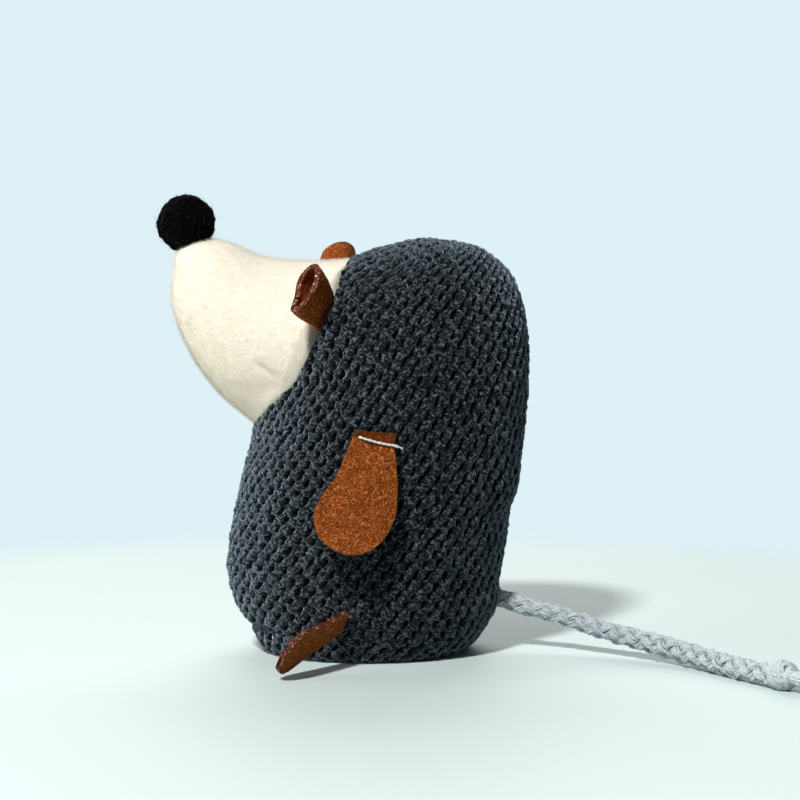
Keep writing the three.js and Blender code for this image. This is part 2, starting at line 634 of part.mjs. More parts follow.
const tailLine = new THREE.CatmullRomCurve3([tailPivot, ...TAIL_ROUTE.map((p) => new THREE.Vector3(...p))]);
const tailSteps = Math.round(tailLine.getLength() / (2 * TAIL_DIAMETER));
const section = new THREE.Shape().absarc(0, 0, TAIL_DIAMETER / 2, 0, 2 * Math.PI, false);
const cord = new THREE.ExtrudeGeometry(section, { steps: tailSteps, curveSegments: 10, extrudePath: tailLine });
const tailEnd = tailLine.getPoint(1);
const tailWay = tailLine.getTangent(1).setZ(0).normalize();
piece("tail_cord", solidOf(cord).add(ball(tailPivot, TAIL_DIAMETER)).intersect(aboveFloor), cotton)
  .userData.hinge = { point: tailPivot.toArray(), axis: up.toArray() };

// A round piece revolved about the tail's last direction; each profile point is a radius and a distance.
function onTail(profile, start, height) {
  const made = new THREE.LatheGeometry(profile.map(([r, d]) => new THREE.Vector2(r, d)), 16);
  made.applyQuaternion(new THREE.Quaternion().setFromUnitVectors(new THREE.Vector3(0, 1, 0), tailWay));
  const at = tailEnd.clone().addScaledVector(tailWay, start).setZ(height);
  return solidOf(made.translate(at.x, at.y, at.z)).intersect(aboveFloor);
}

const knotRadius = TAIL_KNOT_DIAMETER / 2;
const cordRadius = TAIL_DIAMETER / 2;
const tuftRadius = TAIL_TUFT_DIAMETER / 2;
piece(
  "tail_knot",
  onTail(
    [
      [0, 0],
      [cordRadius * 0.9, 0],
      [knotRadius, TAIL_KNOT_LENGTH * 0.25],
      [knotRadius, TAIL_KNOT_LENGTH * 0.7],
      [cordRadius * 0.8, TAIL_KNOT_LENGTH],
      [0, TAIL_KNOT_LENGTH],
    ],
    GAP,
    knotRadius - BASE_FLAT_DEPTH,
  ),
  cotton,
);
piece(
  "tail_tuft",
  onTail(
    [
      [0, 0],
      [cordRadius * 0.7, 0],
      [tuftRadius, TAIL_TUFT_LENGTH * 0.45],
      [tuftRadius * 0.9, TAIL_TUFT_LENGTH * 0.8],
      [tuftRadius * 0.4, TAIL_TUFT_LENGTH],
      [0, TAIL_TUFT_LENGTH],
    ],
    2 * GAP + TAIL_KNOT_LENGTH,
    tuftRadius - BASE_FLAT_DEPTH,
  ),
  cotton,
);
piece("tail_inner_knot", ball(innerKnotCentre, TAIL_INNER_KNOT_DIAMETER, 2).subtract(tailPocket), cotton);

export default mouse;
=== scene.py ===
"""Catnip mouse: knit, plush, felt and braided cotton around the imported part."""

import json
import math

import bpy
import numpy as np
from mathutils import Matrix, Vector, noise
from mathutils.kdtree import KDTree


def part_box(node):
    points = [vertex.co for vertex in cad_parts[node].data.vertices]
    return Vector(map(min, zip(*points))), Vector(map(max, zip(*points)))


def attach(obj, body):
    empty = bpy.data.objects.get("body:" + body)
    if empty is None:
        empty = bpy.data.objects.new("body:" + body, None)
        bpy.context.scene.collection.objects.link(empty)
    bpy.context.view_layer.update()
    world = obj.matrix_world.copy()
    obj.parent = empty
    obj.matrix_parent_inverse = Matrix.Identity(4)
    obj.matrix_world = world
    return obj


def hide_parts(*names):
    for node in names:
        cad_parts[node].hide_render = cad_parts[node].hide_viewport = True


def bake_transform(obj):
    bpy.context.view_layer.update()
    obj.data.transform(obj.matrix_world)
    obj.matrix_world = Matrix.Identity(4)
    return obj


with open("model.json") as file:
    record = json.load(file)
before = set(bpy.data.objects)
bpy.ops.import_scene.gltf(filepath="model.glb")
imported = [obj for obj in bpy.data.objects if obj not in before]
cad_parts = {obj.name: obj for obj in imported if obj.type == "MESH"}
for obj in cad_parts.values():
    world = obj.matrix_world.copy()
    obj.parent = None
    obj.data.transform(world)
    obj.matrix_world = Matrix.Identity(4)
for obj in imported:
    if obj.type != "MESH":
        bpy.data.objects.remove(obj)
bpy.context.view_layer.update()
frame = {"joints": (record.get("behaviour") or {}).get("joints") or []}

bl_info = {
    "name": "Catnip Mouse",
    "version": (1, 0, 0),
    "blender": (4, 5, 0),
    "location": "View3D > Sidebar > Catnip Mouse",
    "description": "Builds the fabric, felt and cord of a stuffed catnip mouse around its packed frame",
    "category": "Add Mesh",
}

MM = 0.001
UP = np.array([0.0, 0.0, 1.0])
MIRROR = np.array([1.0, -1.0, 1.0])
FLOOR_CLEARANCE = 0.02

# The form of the body in millimetres. Each ring runs from a front to a back point (x as a share of the length,
# z as a share of the height) and has a share of half the width.
BODY_LENGTH, BODY_HEIGHT, BODY_WIDTH = 79.0, 109.0, 66.0
BASE_FLAT_DEPTH = 0.5
BASE_SEAM_FRONT, BASE_SEAM_BACK = 7.9, 4.2
BODY_RINGS = np.array((
    (-0.025, 0.000, -0.025, 0.000, 0.00),
    (-0.304, 0.000, 0.253, 0.000, 0.55),
    (-0.385, 0.055, 0.367, 0.037, 0.77),
    (-0.466, 0.193, 0.456, 0.183, 0.92),
    (-0.427, 0.413, 0.503, 0.440, 1.00),
    (-0.400, 0.580, 0.532, 0.697, 1.00),
    (-0.350, 0.790, 0.494, 0.881, 0.90),
    (-0.115, 0.935, 0.373, 0.972, 0.56),
    (0.177, 1.000, 0.177, 1.000, 0.00),
))

# The neck seam, which bends round an upright cylinder, and the form of the head in front of it. Each ring has an
# upper and a lower point (way out as a share of the head's length, height as a share of the neck's half height)
# and a share of the neck's half width.
NECK_CENTRE = np.array([-18.1387, 0.0, 81.1014])
NECK_UP = np.array([0.528886, 0.0, 0.848693])
NECK_OUT = np.array([-0.848693, 0.0, 0.528886])
NECK_HALF_HEIGHT, NECK_HALF_WIDTH = 25.715, 22.185
NECK_BEND_RADIUS = 78.0
NECK_OVERLAP = 0.9
GAP = 0.3
HEAD_LENGTH, HEAD_SWELL = 40.0, 0.8
HEAD_RINGS = np.array((
    (0.000, 1.000, 0.000, -1.000, 1.00),
    (0.225, 0.760, 0.237, -0.895, 0.87),
    (0.475, 0.570, 0.500, -0.735, 0.72),
    (0.712, 0.505, 0.737, -0.500, 0.56),
    (0.875, 0.400, 0.900, -0.250, 0.39),
    (0.970, 0.245, 0.982, -0.030, 0.20),
    (1.000, 0.112, 1.000, 0.112, 0.00),
))

# How the stuffed cloth is pulled in from the plain forms: per height the place of the neck seam and the pull towards
# the back there, then the snout's front and the lower back.
PULLS = np.array((
    (39.3, -34.4, 0.0), (45.8, -33.4, 0.5), (50.9, -32.7, 1.3), (54.8, -31.9, 2.0), (58.7, -31.4, 2.3),
    (62.5, -29.3, 2.3), (66.4, -25.8, 2.6), (70.3, -22.7, 3.5), (74.1, -19.4, 2.5), (80.6, -15.3, 0.5),
    (85.8, -14.3, -0.4), (90.5, -12.0, -0.5), (95.0, -11.2, -1.0), (99.0, -10.4, -0.9), (103.5, -8.8, 1.0),
    (107.0, -8.0, 0.0),
))
PULL_AHEAD, PULL_BEHIND = 9.0, 15.0
SNOUT_FRONT, SNOUT_REACH, SNOUT_PULL = (-52.1, 100.0), (8.0, 6.0), 1.1
LOWER_BACK, LOWER_BACK_REACH, LOWER_BACK_PULL = 37.0, 14.0, 1.6
LOWER_BACK_FROM, LOWER_BACK_TO = (14.0, 19.0), (36.0, 44.0)

# How rough the knit is, where its front seams begin and are full (x), and how deep the edges are tucked in there.
KNIT_ROUGHNESS, FRONT_SEAM = 0.06, (-16.0, -30.0)
FRONT_TUCK, NECK_TUCK, BASE_TUCK = 0.85, 0.2, 1.1

# noise_vector takes its offsets from the clock unless a seed is set.
KNIT_NOISE_SEED = 4

# The pressure of the stuffing and the steps in which it swells the cloth.
CLOTH_PRESSURE, CLOTH_STEPS = 4, 20

# The short crease in the near side of the head (x and z of its ends), and how the plush is cut.
CREASE_START, CREASE_END, CREASE_DEPTH = np.array([-28.4, 76.3]), np.array([-21.2, 71.6]), 0.6
PLUSH_UNDER_KNIT, PLUSH_CLOTH = 1.2, 1.6

# Loose fibres on each kind of piece: how many, how wide, and how far they spread from the surface's normal.
FIBRES = {
    "knit": (13000, 0.12, 1.5), "plush": (60000, 0.038, 0.25), "felt": (2500, 0.09, 2.0),
    "braid": (7000, 0.06, 1.4), "knot": (1500, 0.06, 1.4), "tuft": (1500, 0.06, 1.4), "stopper": (400, 0.06, 1.4),
}
KNIT_FUZZ, FELT_FUZZ, COTTON_FUZZ = 0.7, 0.55, 0.9
NOSE_HAIRS, NOSE_HAIR_RADIUS, NOSE_HAIR_LENGTHS = 1100, 0.028, (1.0, 3.6)

# The braid is drawn tight where it leaves the body and is fuller in its middle. Its yarns are thick by a share of its
# radius and lie side by side in a strand, which passes over and under the others.
BRAID_STRANDS, BRAID_YARNS = 8, 4
YARN_SHARE, YARN_SPREAD, STRAND_RIDE, STRAND_WEAVE, STRAND_WANDER = 0.13, 1.55, 0.7, 0.16, 0.1
BRAID_PLACES = np.array((0.0, 0.14, 0.32, 0.55, 0.8, 1.0))
BRAID_FULLNESS = np.array((0.96, 0.88, 0.9, 1.1, 1.04, 0.98))

# The tail's middle line from the point where it leaves the body to its knot.
TAIL_ROUTE = np.array((
    (35.188, 0.0, 13.4), (41.0, -1.5, 11.6), (50.0, -4.6, 9.7), (59.7, -9.3, 7.0), (68.4, -14.8, 5.3),
    (76.5, -21.5, 4.1), (83.0, -29.3, 3.2), (88.2, -37.8, 2.9), (92.8, -45.6, 2.9), (97.2, -52.2, 2.9),
))
TAIL_KNOT_LENGTH, TAIL_TUFT_LENGTH = 7.0, 14.0
KNOT_HEIGHT, KNOT_HALF_LENGTH, KNOT_HALF_WIDTH, KNOT_RINGS = 3.55, 3.7, 3.2, 11
TUFT_STRANDS, TUFT_LOW, TUFT_HIGH = 26, 0.55, 6.4

# Felt paddles, rolled ears and the stitch in the sizes of the part's source, with the trim of the arms' outline.
ARM_LENGTH, ARM_ROOT_WIDTH, ARM_ROUND_RADIUS = 28.2, 9.7, 10.4
ARM_TILT, ARM_STAND_OFF = math.radians(14), math.radians(9)
ARM_TAB_TOP, ARM_TAB_SLANT, ARM_CURVE = 2.55, 0.175, 0.003
ARM_TRIM_HEIGHTS = np.array((0.0, 3.5, 8.7, 11.0, 15.0, 18.4, 21.6, 24.5, 27.0))
ARM_TRIM_FRONT = np.array((1.08, 0.98, 0.85, 0.83, 0.87, 0.93, 1.0, 1.05, 1.1))
ARM_TRIM_BACK = np.array((1.06, 1.12, 1.08, 1.02, 0.94, 0.89, 0.87, 0.86, 0.87))
STITCH_ABOVE_ROOT, STITCH_PROUD, STITCH_HOLD = 0.5, 1.3, 4.5
FOOT_LENGTH, FOOT_ROOT_WIDTH, FOOT_ROUND_RADIUS = 23.3, 7.5, 6.3
FOOT_SPLAY, FOOT_DROOP, FOOT_ROLL = math.radians(39), math.radians(16.5), math.radians(53.5)
EAR_LENGTH, EAR_ROOT_WIDTH, EAR_RIM_WIDTH = 12.5, 10.0, 13.6
EAR_ROLL = math.radians(179.2)
EAR_NOTCH_TURN, EAR_CURL, EAR_SEAT = math.radians(24), 1.3, 1.5
EAR_ANGLES = {"left": math.radians(66), "right": math.radians(50)}
EAR_LEANS = {"left": 0.8, "right": 0.5}
EAR_RIM_DEPTHS = {"left": 8.6, "right": 11.0}
HANDS = {"left": -1, "right": 1}


def length_prop(name, description, default):
    return bpy.props.FloatProperty(name=name, description=description, default=default, min=0.0, unit="LENGTH")


def colour_prop(name, description, default):
    return bpy.props.FloatVectorProperty(
        name=name, description=description, default=default, size=3, min=0.0, max=1.0, subtype="COLOR")


class MouseSizes(bpy.types.PropertyGroup):
    """Sizes of the mouse's fabrics and cords."""

    knit_pitch: length_prop("Knit pitch", "Distance between two holes of one knit row", 0.0042)
    knit_row: length_prop("Knit row", "Distance between two knit rows", 0.00262)
    knit_depth: length_prop("Knit hole depth", "Depth of the holes between the yarns", 0.0011)
    knit_cloth: length_prop("Knit thickness", "Thickness of the knit panels", 0.0014)
    pile_length: length_prop("Pile length", "Length of the plush fibres", 0.0013)
    felt: length_prop("Felt thickness", "Thickness of arms and feet", 0.0017)
    ear_felt: length_prop("Ear felt thickness", "Thickness of the rolled ears", 0.0014)
    thread: length_prop("Thread diameter", "Diameter of the sewing thread", 0.0006)
    cord: length_prop("Cord diameter", "Diameter of the braided tail", 0.0056)
    braid_pitch: length_prop("Braid pitch", "Length of one turn of a tail strand", 0.02)
    fill_move: length_prop("Stuffing swell", "Most that the stuffing pushes a panel out", 0.0011)


class MouseColours(bpy.types.PropertyGroup):
    """Colours of the mouse's materials."""

    yarn: colour_prop("Knit yarn", "Slate yarn of the body", (0.024, 0.029, 0.034))
    plush: colour_prop("Plush", "Cream pile of the head", (0.97, 0.925, 0.795))
    felt: colour_prop("Felt", "Brown felt of ears, arms and feet", (0.183, 0.035, 0.0046))
    felt_edge: colour_prop("Felt edge", "Melted cut edge of the felt", (0.085, 0.014, 0.004))
    wool: colour_prop("Nose wool", "Black felted wool of the nose", (0.0016, 0.0016, 0.0024))
    thread: colour_prop("Thread", "White sewing thread", (0.85, 0.85, 0.82))
    cotton: colour_prop("Cotton", "Light grey cotton of the tail", (0.555, 0.62, 0.645))
    fibrefill: colour_prop("Fibrefill", "White stuffing", (0.85, 0.85, 0.83))
    sachet: colour_prop("Sachet", "Non-woven sheet of the sachet", (0.78, 0.76, 0.7))
    herb: colour_prop("Herb", "Dried catnip", (0.16, 0.19, 0.06))
    floor: colour_prop("Floor", "Pale floor", (0.67, 0.782, 0.762))
    backdrop: colour_prop("Backdrop", "Pale background", (0.73, 0.88, 0.93))


# Forms


def spline(points, shares):
    """Places at shares 0 to 1 of an even Catmull-Rom line through points."""
    points = np.asarray(points, float)
    last = len(points) - 1
    place = np.clip(shares, 0, 1) * last
    i = np.minimum(place.astype(int), last - 1)
    w = (place - i)[:, None]
    before, here, after, beyond = (points[np.clip(i + k, 0, last)] for k in (-1, 0, 1, 2))
    start, end = (after - before) / 2, (beyond - here) / 2
    cubic, square = 2 * here - 2 * after + start + end, 3 * after - 3 * here - 2 * start - end
    return cubic * w**3 + square * w**2 + start * w + here


def smooth(low, high, value):
    t = np.clip((value - low) / (high - low), 0, 1)
    return t * t * (3 - 2 * t)


def unit(vectors):
    vectors = np.asarray(vectors, float)
    return vectors / np.maximum(np.linalg.norm(vectors, axis=-1, keepdims=True), 1e-12)


def running_length(points):
    return np.concatenate([[0.0], np.cumsum(np.linalg.norm(np.diff(points, axis=0), axis=1))])


def body_surface(ring, turn):
    """Points of the body's left half: ring 0 bottom to 1 crown, turn 0 front to pi back."""
    rings = spline(BODY_RINGS, ring)
    scale = np.array([BODY_LENGTH, BODY_HEIGHT])
    front, back = rings[:, 0:2] * scale, rings[:, 2:4] * scale
    flat = (front + back) / 2 - (back - front) / 2 * np.cos(turn)[:, None]
    wide = rings[:, 4] * BODY_WIDTH / 2
    return np.stack([flat[:, 0], -wide * np.sin(turn), flat[:, 1] - BASE_FLAT_DEPTH], 1)


def base_seam(turn):
    """The ring share at which the body's form meets the base seam."""
    low, high = np.full(len(turn), 0.125), np.full(len(turn), 0.4)
    for _ in range(40):
        middle = (low + high) / 2
        at = body_surface(middle, turn)
        seam = BASE_SEAM_FRONT + (at[:, 0] / BODY_LENGTH + 0.5) * (BASE_SEAM_BACK - BASE_SEAM_FRONT)
        above = at[:, 2] > seam + GAP / 2
        high, low = np.where(above, middle, high), np.where(above, low, middle)
    return (low + high) / 2


def beyond_neck(points):
    """How far points lie in front of the bent neck seam."""
    rel = points - (NECK_CENTRE - NECK_BEND_RADIUS * NECK_OUT)
    along = rel @ NECK_UP
    return np.linalg.norm(rel - along[:, None] * NECK_UP, axis=1) - NECK_BEND_RADIUS


def head_surface(share, turn):
    """Points of the head's left half: share below 0 behind the neck to 1 tip, turn 0 throat to pi crown."""
    rings = spline(HEAD_RINGS, np.maximum(share, 0))
    scale = np.array([HEAD_LENGTH, NECK_HALF_HEIGHT])
    upper, lower = rings[:, 0:2] * scale, rings[:, 2:4] * scale
    flat = (lower + upper) / 2 - (upper - lower) / 2 * np.cos(turn)[:, None]
    out = flat[:, 0] + GAP + np.minimum(share, 0) * HEAD_LENGTH
    wide = rings[:, 4] * NECK_HALF_WIDTH
    points = NECK_CENTRE + out[:, None] * NECK_OUT + flat[:, 1, None] * NECK_UP
    points[:, 1] -= wide * np.sin(turn)
    return points


def head_start(turn):
    """The head share at which the neck seam lies."""
    return -((NECK_HALF_WIDTH * np.sin(turn)) ** 2) / (2 * NECK_BEND_RADIUS) / HEAD_LENGTH


def pulled(points):
    """Points of the plain forms moved to where the stuffed cloth lies."""
    x, z = points[:, 0], points[:, 2]
    away = x - np.interp(z, PULLS[:, 0], PULLS[:, 1])
    reach = np.where(away < 0, PULL_AHEAD, PULL_BEHIND)
    move = np.interp(z, PULLS[:, 0], PULLS[:, 2]) * np.exp(-((away / reach) ** 2))
    ahead, above = ((place - middle) / wide for place, middle, wide in zip((x, z), SNOUT_FRONT, SNOUT_REACH))
    move += SNOUT_PULL * np.exp(-(ahead**2) - above**2)
    band = smooth(*LOWER_BACK_FROM, z) * (1 - smooth(*LOWER_BACK_TO, z))
    move -= LOWER_BACK_PULL * band * np.exp(-(((x - LOWER_BACK) / LOWER_BACK_REACH) ** 2))
    return points + move[:, None] * np.array([1.0, 0.0, 0.0])


# Meshes


def deselect():
    bpy.ops.object.select_all(action="DESELECT")


def new_piece(name, points, faces):
    """A mesh object from points in millimetres."""
    mesh = bpy.data.meshes.new(name)
    mesh.from_pydata((np.asarray(points) * MM).tolist(), [], [list(map(int, f)) for f in faces])
    mesh.polygons.foreach_set("use_smooth", np.full(len(mesh.polygons), True))
    mesh.update()
    piece = bpy.data.objects.new(name, mesh)
    bpy.context.scene.collection.objects.link(piece)
    return piece


def points_of(piece):
    """A piece's points in millimetres."""
    points = np.empty(len(piece.data.vertices) * 3)
    piece.data.vertices.foreach_get("co", points)
    return points.reshape(-1, 3) / MM


def set_points(piece, points):
    piece.data.vertices.foreach_set("co", (np.asarray(points) * MM).ravel())
    piece.data.update()


def normals_of(piece):
    normals = np.empty(len(piece.data.vertices) * 3, np.float32)
    piece.data.vertex_normals.foreach_get("vector", normals)
    return normals.reshape(-1, 3).astype(float)


def set_attribute(piece, name, values):
    attribute = piece.data.attributes.new(name, "FLOAT", "POINT")
    attribute.data.foreach_set("value", np.asarray(values, np.float32))


def set_weave(piece, places):
    """A UV map from one place per point."""
    layer = piece.data.uv_layers.new(name="weave")
    corners = np.empty(len(piece.data.loops), np.int32)
    piece.data.loops.foreach_get("vertex_index", corners)
    layer.data.foreach_set("uv", np.asarray(places, np.float32)[corners].ravel())


def pick_out(piece):
    """Makes a piece the only one selected."""
    deselect()
    bpy.context.view_layer.objects.active = piece
    piece.select_set(True)


def started(name, primitive, **settings):
    """A new piece that starts as a primitive."""
    deselect()
    primitive(**settings)
    piece = bpy.context.object
    piece.name = piece.data.name = name
    return piece


def apply_modifiers(piece):
    pick_out(piece)
    for modifier in list(piece.modifiers):
        bpy.ops.object.modifier_apply(modifier=modifier.name)


def roughen(piece, height, scale, seed):
    """Moves each point along its normal by smooth noise; height and scale in millimetres."""
    points, normals = points_of(piece), normals_of(piece)
    offset = Vector((seed * 7.3, seed * 3.1, seed * 1.7))
    lift = np.array([noise.noise(Vector(p) / scale + offset) for p in points])
    set_points(piece, points + normals * (lift * height)[:, None])


def zip_rows(lower, lower_key, upper, upper_key):
    """Triangles between two rows of points whose keys rise along the row."""
    faces, i, j = [], 0, 0
    while i < len(lower) - 1 or j < len(upper) - 1:
        if j == len(upper) - 1 or (i < len(lower) - 1 and lower_key[i + 1] <= upper_key[j + 1]):
            faces.append((lower[i], lower[i + 1], upper[j]))
            i += 1
        else:
            faces.append((lower[i], upper[j + 1], upper[j]))
            j += 1
    return faces


def frames_along(points):
    """Tangents and two steady side directions along a line."""
    tangents = unit(np.gradient(points, axis=0))
    start = UP if abs(tangents[0][2]) < 0.9 else np.array([1.0, 0.0, 0.0])
    sides = [unit(start - tangents[0] * (start @ tangents[0]))]
    for t in tangents[1:]:
        s = sides[-1] - t * (sides[-1] @ t)
        sides.append(unit(s))
    sides = np.array(sides)
    return tangents, sides, np.cross(tangents, sides)


def tube(points, section, frames=None, scale=None):
    """Points and faces of a closed tube whose section (offsets along side and other) follows a line."""
    points = np.asarray(points, float)
    _, side, other = frames_along(points) if frames is None else frames
    n, m = len(points), len(section)
    scale = np.ones(n) if scale is None else scale
    ring = side[:, None] * section[None, :, 0, None] + other[:, None] * section[None, :, 1, None]
    made = (points[:, None] + ring * scale[:, None, None]).reshape(-1, 3)
    i, j = np.meshgrid(np.arange(n - 1), np.arange(m), indexing="ij")
    k = (j + 1) % m
    faces = np.stack([i * m + j, i * m + k, (i + 1) * m + k, (i + 1) * m + j], -1).reshape(-1, 4).tolist()
    faces.append(list(range(m - 1, -1, -1)))
    faces.append(list(range((n - 1) * m, n * m)))
    return made, faces


def round_section(radius, sides, ripple=0.0, lobes=6):
    turn = np.arange(sides) / sides * 2 * math.pi
    reach = radius + ripple * np.cos(lobes * turn)
    return np.stack([reach * np.cos(turn), reach * np.sin(turn)], 1)


def round_way(side, other, turn):
    """Directions at turns round an axis."""
    return side * np.cos(turn)[:, None] + other * np.sin(turn)[:, None]


def gather(parts):
    """One list of points and faces from several."""
    points, faces, start = [], [], 0
    for p, f in parts:
        points.append(p)
        faces.extend([[v + start for v in face] for face in f])
        start += len(p)
    return np.concatenate(points), faces


def scatter(piece, count, rng, keep=None):
    """Random places and normals on a mesh, evenly by area."""
    mesh = piece.data
    mesh.calc_loop_triangles()
    corners = np.empty(len(mesh.loop_triangles) * 3, np.int32)
    mesh.loop_triangles.foreach_get("vertices", corners)
    corners = corners.reshape(-1, 3)
    if keep is not None:
        corners = corners[keep[corners].all(axis=1)]
    points, normals = points_of(piece), normals_of(piece)
    a, b, c = (points[corners[:, k]] for k in range(3))
    area = np.linalg.norm(np.cross(b - a, c - a), axis=1)
    pick = rng.choice(len(corners), count, p=area / area.sum())
    u, v = rng.random(count), rng.random(count)
    u, v = np.where(u + v > 1, 1 - u, u)[:, None], np.where(u + v > 1, 1 - v, v)[:, None]
    at = a[pick] * (1 - u - v) + b[pick] * u + c[pick] * v
    way = sum(normals[corners[pick, k]] * w for k, w in ((0, 1 - u - v), (1, u), (2, v)))
    return at, unit(way)


def pile(at, way, lean, length, width, rng, spread):
    """Closed three-sided fibres that stand on a surface."""
    count = len(at)
    direction = unit(way + lean + rng.normal(0, spread, (count, 3)))
    side = unit(np.cross(direction, rng.normal(0, 1, (count, 3))))
    other = np.cross(direction, side)
    reach = (length * rng.uniform(0.6, 1.15, count))[:, None]
    root = at - way * 0.25
    corners = [root + width / 2 * (side * math.cos(t) + other * math.sin(t)) for t in (0, 2.0944, 4.1888)]
    points = np.stack([*corners, root + direction * reach], 1).reshape(-1, 3)
    first = np.arange(count)[:, None] * 4
    faces = (first[:, None] + np.array([[0, 2, 1], [0, 1, 3], [1, 2, 3], [2, 0, 3]])).reshape(-1, 3)
    return points, faces.tolist()


def fuzzed(piece, keep, kind, length, rng, lean=0.0, soft=False):
    """The piece again, with loose fibres on those points that are kept; soft ones shade like the cloth under them."""
    name = piece.name
    count, width, spread = FIBRES[kind]
    at, way = scatter(piece, count, rng, keep)
    fibres = pile(at, way, lean, length, width, rng, spread)
    shell = points_of(piece), [list(p.vertices) for p in piece.data.polygons]
    slots = [p.material_index for p in piece.data.polygons]
    finishes = list(piece.data.materials)
    bpy.data.objects.remove(piece)
    made = new_piece(name, *gather([shell, fibres]))
    made.name = name
    for finish in finishes:
        made.data.materials.append(finish)
    made.data.polygons.foreach_set("material_index", slots + [0] * len(fibres[1]))
    if soft:
        shading = np.concatenate([np.zeros_like(shell[0]), np.repeat(way, 4, axis=0)])
        made.data.normals_split_custom_set_from_vertices(shading.tolist())
    return made


def recalculate(piece):
    """Turns a closed piece's faces outwards."""
    pick_out(piece)
    bpy.ops.object.mode_set(mode="EDIT")
    bpy.ops.mesh.select_all(action="SELECT")
    bpy.ops.mesh.normals_make_consistent(inside=False)
    bpy.ops.object.mode_set(mode="OBJECT")


def sewn_edges(grid):
    """Marks the points on the four edges of a sheet of points."""
    pinned = np.zeros(grid.shape[:2], bool)
    pinned[[0, -1]] = pinned[:, [0, -1]] = True
    return pinned


def billow(grid, pinned, most):
    """Fills a coarse sheet of points with cloth pressure; returns how each point moved, in millimetres."""
    rows, columns = grid.shape[:2]
    index = np.arange(rows * columns).reshape(rows, columns)
    quads = np.stack([index[:-1, :-1], index[:-1, 1:], index[1:, 1:], index[1:, :-1]], -1).reshape(-1, 4)
    sheet = new_piece("swelling_sheet", grid.reshape(-1, 3), quads)
    sewn = sheet.vertex_groups.new(name="sewn")
    sewn.add(np.flatnonzero(pinned.ravel()).tolist(), 1.0, "REPLACE")
    cloth = sheet.modifiers.new("stuffing", "CLOTH")
    cloth.settings.quality = 6
    cloth.settings.use_pressure = True
    cloth.settings.uniform_pressure_force = CLOTH_PRESSURE
    cloth.settings.vertex_group_mass = "sewn"
    cloth.settings.effector_weights.gravity = 0
    cloth.point_cache.frame_start, cloth.point_cache.frame_end = 1, CLOTH_STEPS
    scene = bpy.context.scene
    for step in range(1, CLOTH_STEPS + 1):
        scene.frame_set(step)
    apply_modifiers(sheet)
    scene.frame_set(1)
    move = points_of(sheet).reshape(grid.shape) - grid
    bpy.data.objects.remove(sheet)
    far = np.linalg.norm(move, axis=2, keepdims=True)
    return move * (most * np.tanh(far / most) / np.maximum(far, 1e-9))


def moved_by(grid, along, across):
    """A coarse grid's values at rows along (one number) and columns across (an array)."""
    rows, columns, size = grid.shape
    row = spline(grid.reshape(rows, columns * size), np.array([along]))[0].reshape(columns, size)
    return spline(row, across)


# Materials


def join(tree, socket, value):
    if isinstance(value, bpy.types.NodeSocket):
        tree.links.new(value, socket)
    else:
        socket.default_value = value


def add(tree, kind, inputs=None, **settings):
    """A node with its settings and its inputs, which are values or other nodes' sockets."""
    node = tree.nodes.new(kind)
    for name, value in settings.items():
        setattr(node, name, value)
    for name, value in (inputs or {}).items():
        join(tree, node.inputs[name], value)
    return node


def maths(tree, operation, a, b=0.0, c=0.0):
    return add(tree, "ShaderNodeMath", {0: a, 1: b, 2: c}, operation=operation).outputs[0]


def ranged(tree, value, low, high, to_low=0.0, to_high=1.0):
    return add(tree, "ShaderNodeMapRange", {
        "Value": value, "From Min": low, "From Max": high, "To Min": to_low, "To Max": to_high}).outputs["Result"]


def mixed(tree, share, a, b):
    node = add(tree, "ShaderNodeMix", {"Factor": share}, data_type="RGBA")
    for name, value in (("A", a), ("B", b)):
        socket = next(s for s in node.inputs if s.name == name and s.type == "RGBA")
        join(tree, socket, value if isinstance(value, bpy.types.NodeSocket) else (*value, 1.0))
    return next(s for s in node.outputs if s.type == "RGBA")


def grain(tree, vector, scale, detail, **others):
    return add(tree, "ShaderNodeTexNoise", {
        "Vector": vector, "Scale": scale, "Detail": detail, **others}).outputs["Fac"]


def node_group(name, inputs, outputs):
    tree = bpy.data.node_groups.new(name, "ShaderNodeTree")
    for label, kind, default in inputs:
        socket = tree.interface.new_socket(label, in_out="INPUT", socket_type=kind)
        if default is not None:
            socket.default_value = default
    for label in outputs:
        tree.interface.new_socket(label, in_out="OUTPUT", socket_type="NodeSocketFloat")
    return tree, tree.nodes.new("NodeGroupInput").outputs, tree.nodes.new("NodeGroupOutput").inputs


def fibre_group():
    """Matted fibres: a soft cloudy mask, fine flecks and a height for bump."""
    if "Matted fibres" in bpy.data.node_groups:
        return bpy.data.node_groups["Matted fibres"]
    tree, given, out = node_group(
        "Matted fibres",
        [("Vector", "NodeSocketVector", None), ("Cloud scale", "NodeSocketFloat", 250.0),
         ("Fleck scale", "NodeSocketFloat", 1400.0)],
        ["Cloud", "Fleck", "Height"])
    cloud = grain(tree, given["Vector"], given["Cloud scale"], 3.0, Roughness=0.6)
    fleck = grain(tree, given["Vector"], given["Fleck scale"], 2.0, Roughness=0.7, Distortion=1.5)
    join(tree, out["Cloud"], ranged(tree, cloud, 0.3, 0.7))
    join(tree, out["Fleck"], ranged(tree, fleck, 0.42, 0.66))
    join(tree, out["Height"], maths(tree, "MULTIPLY_ADD", cloud, 0.4, fleck))
    return tree


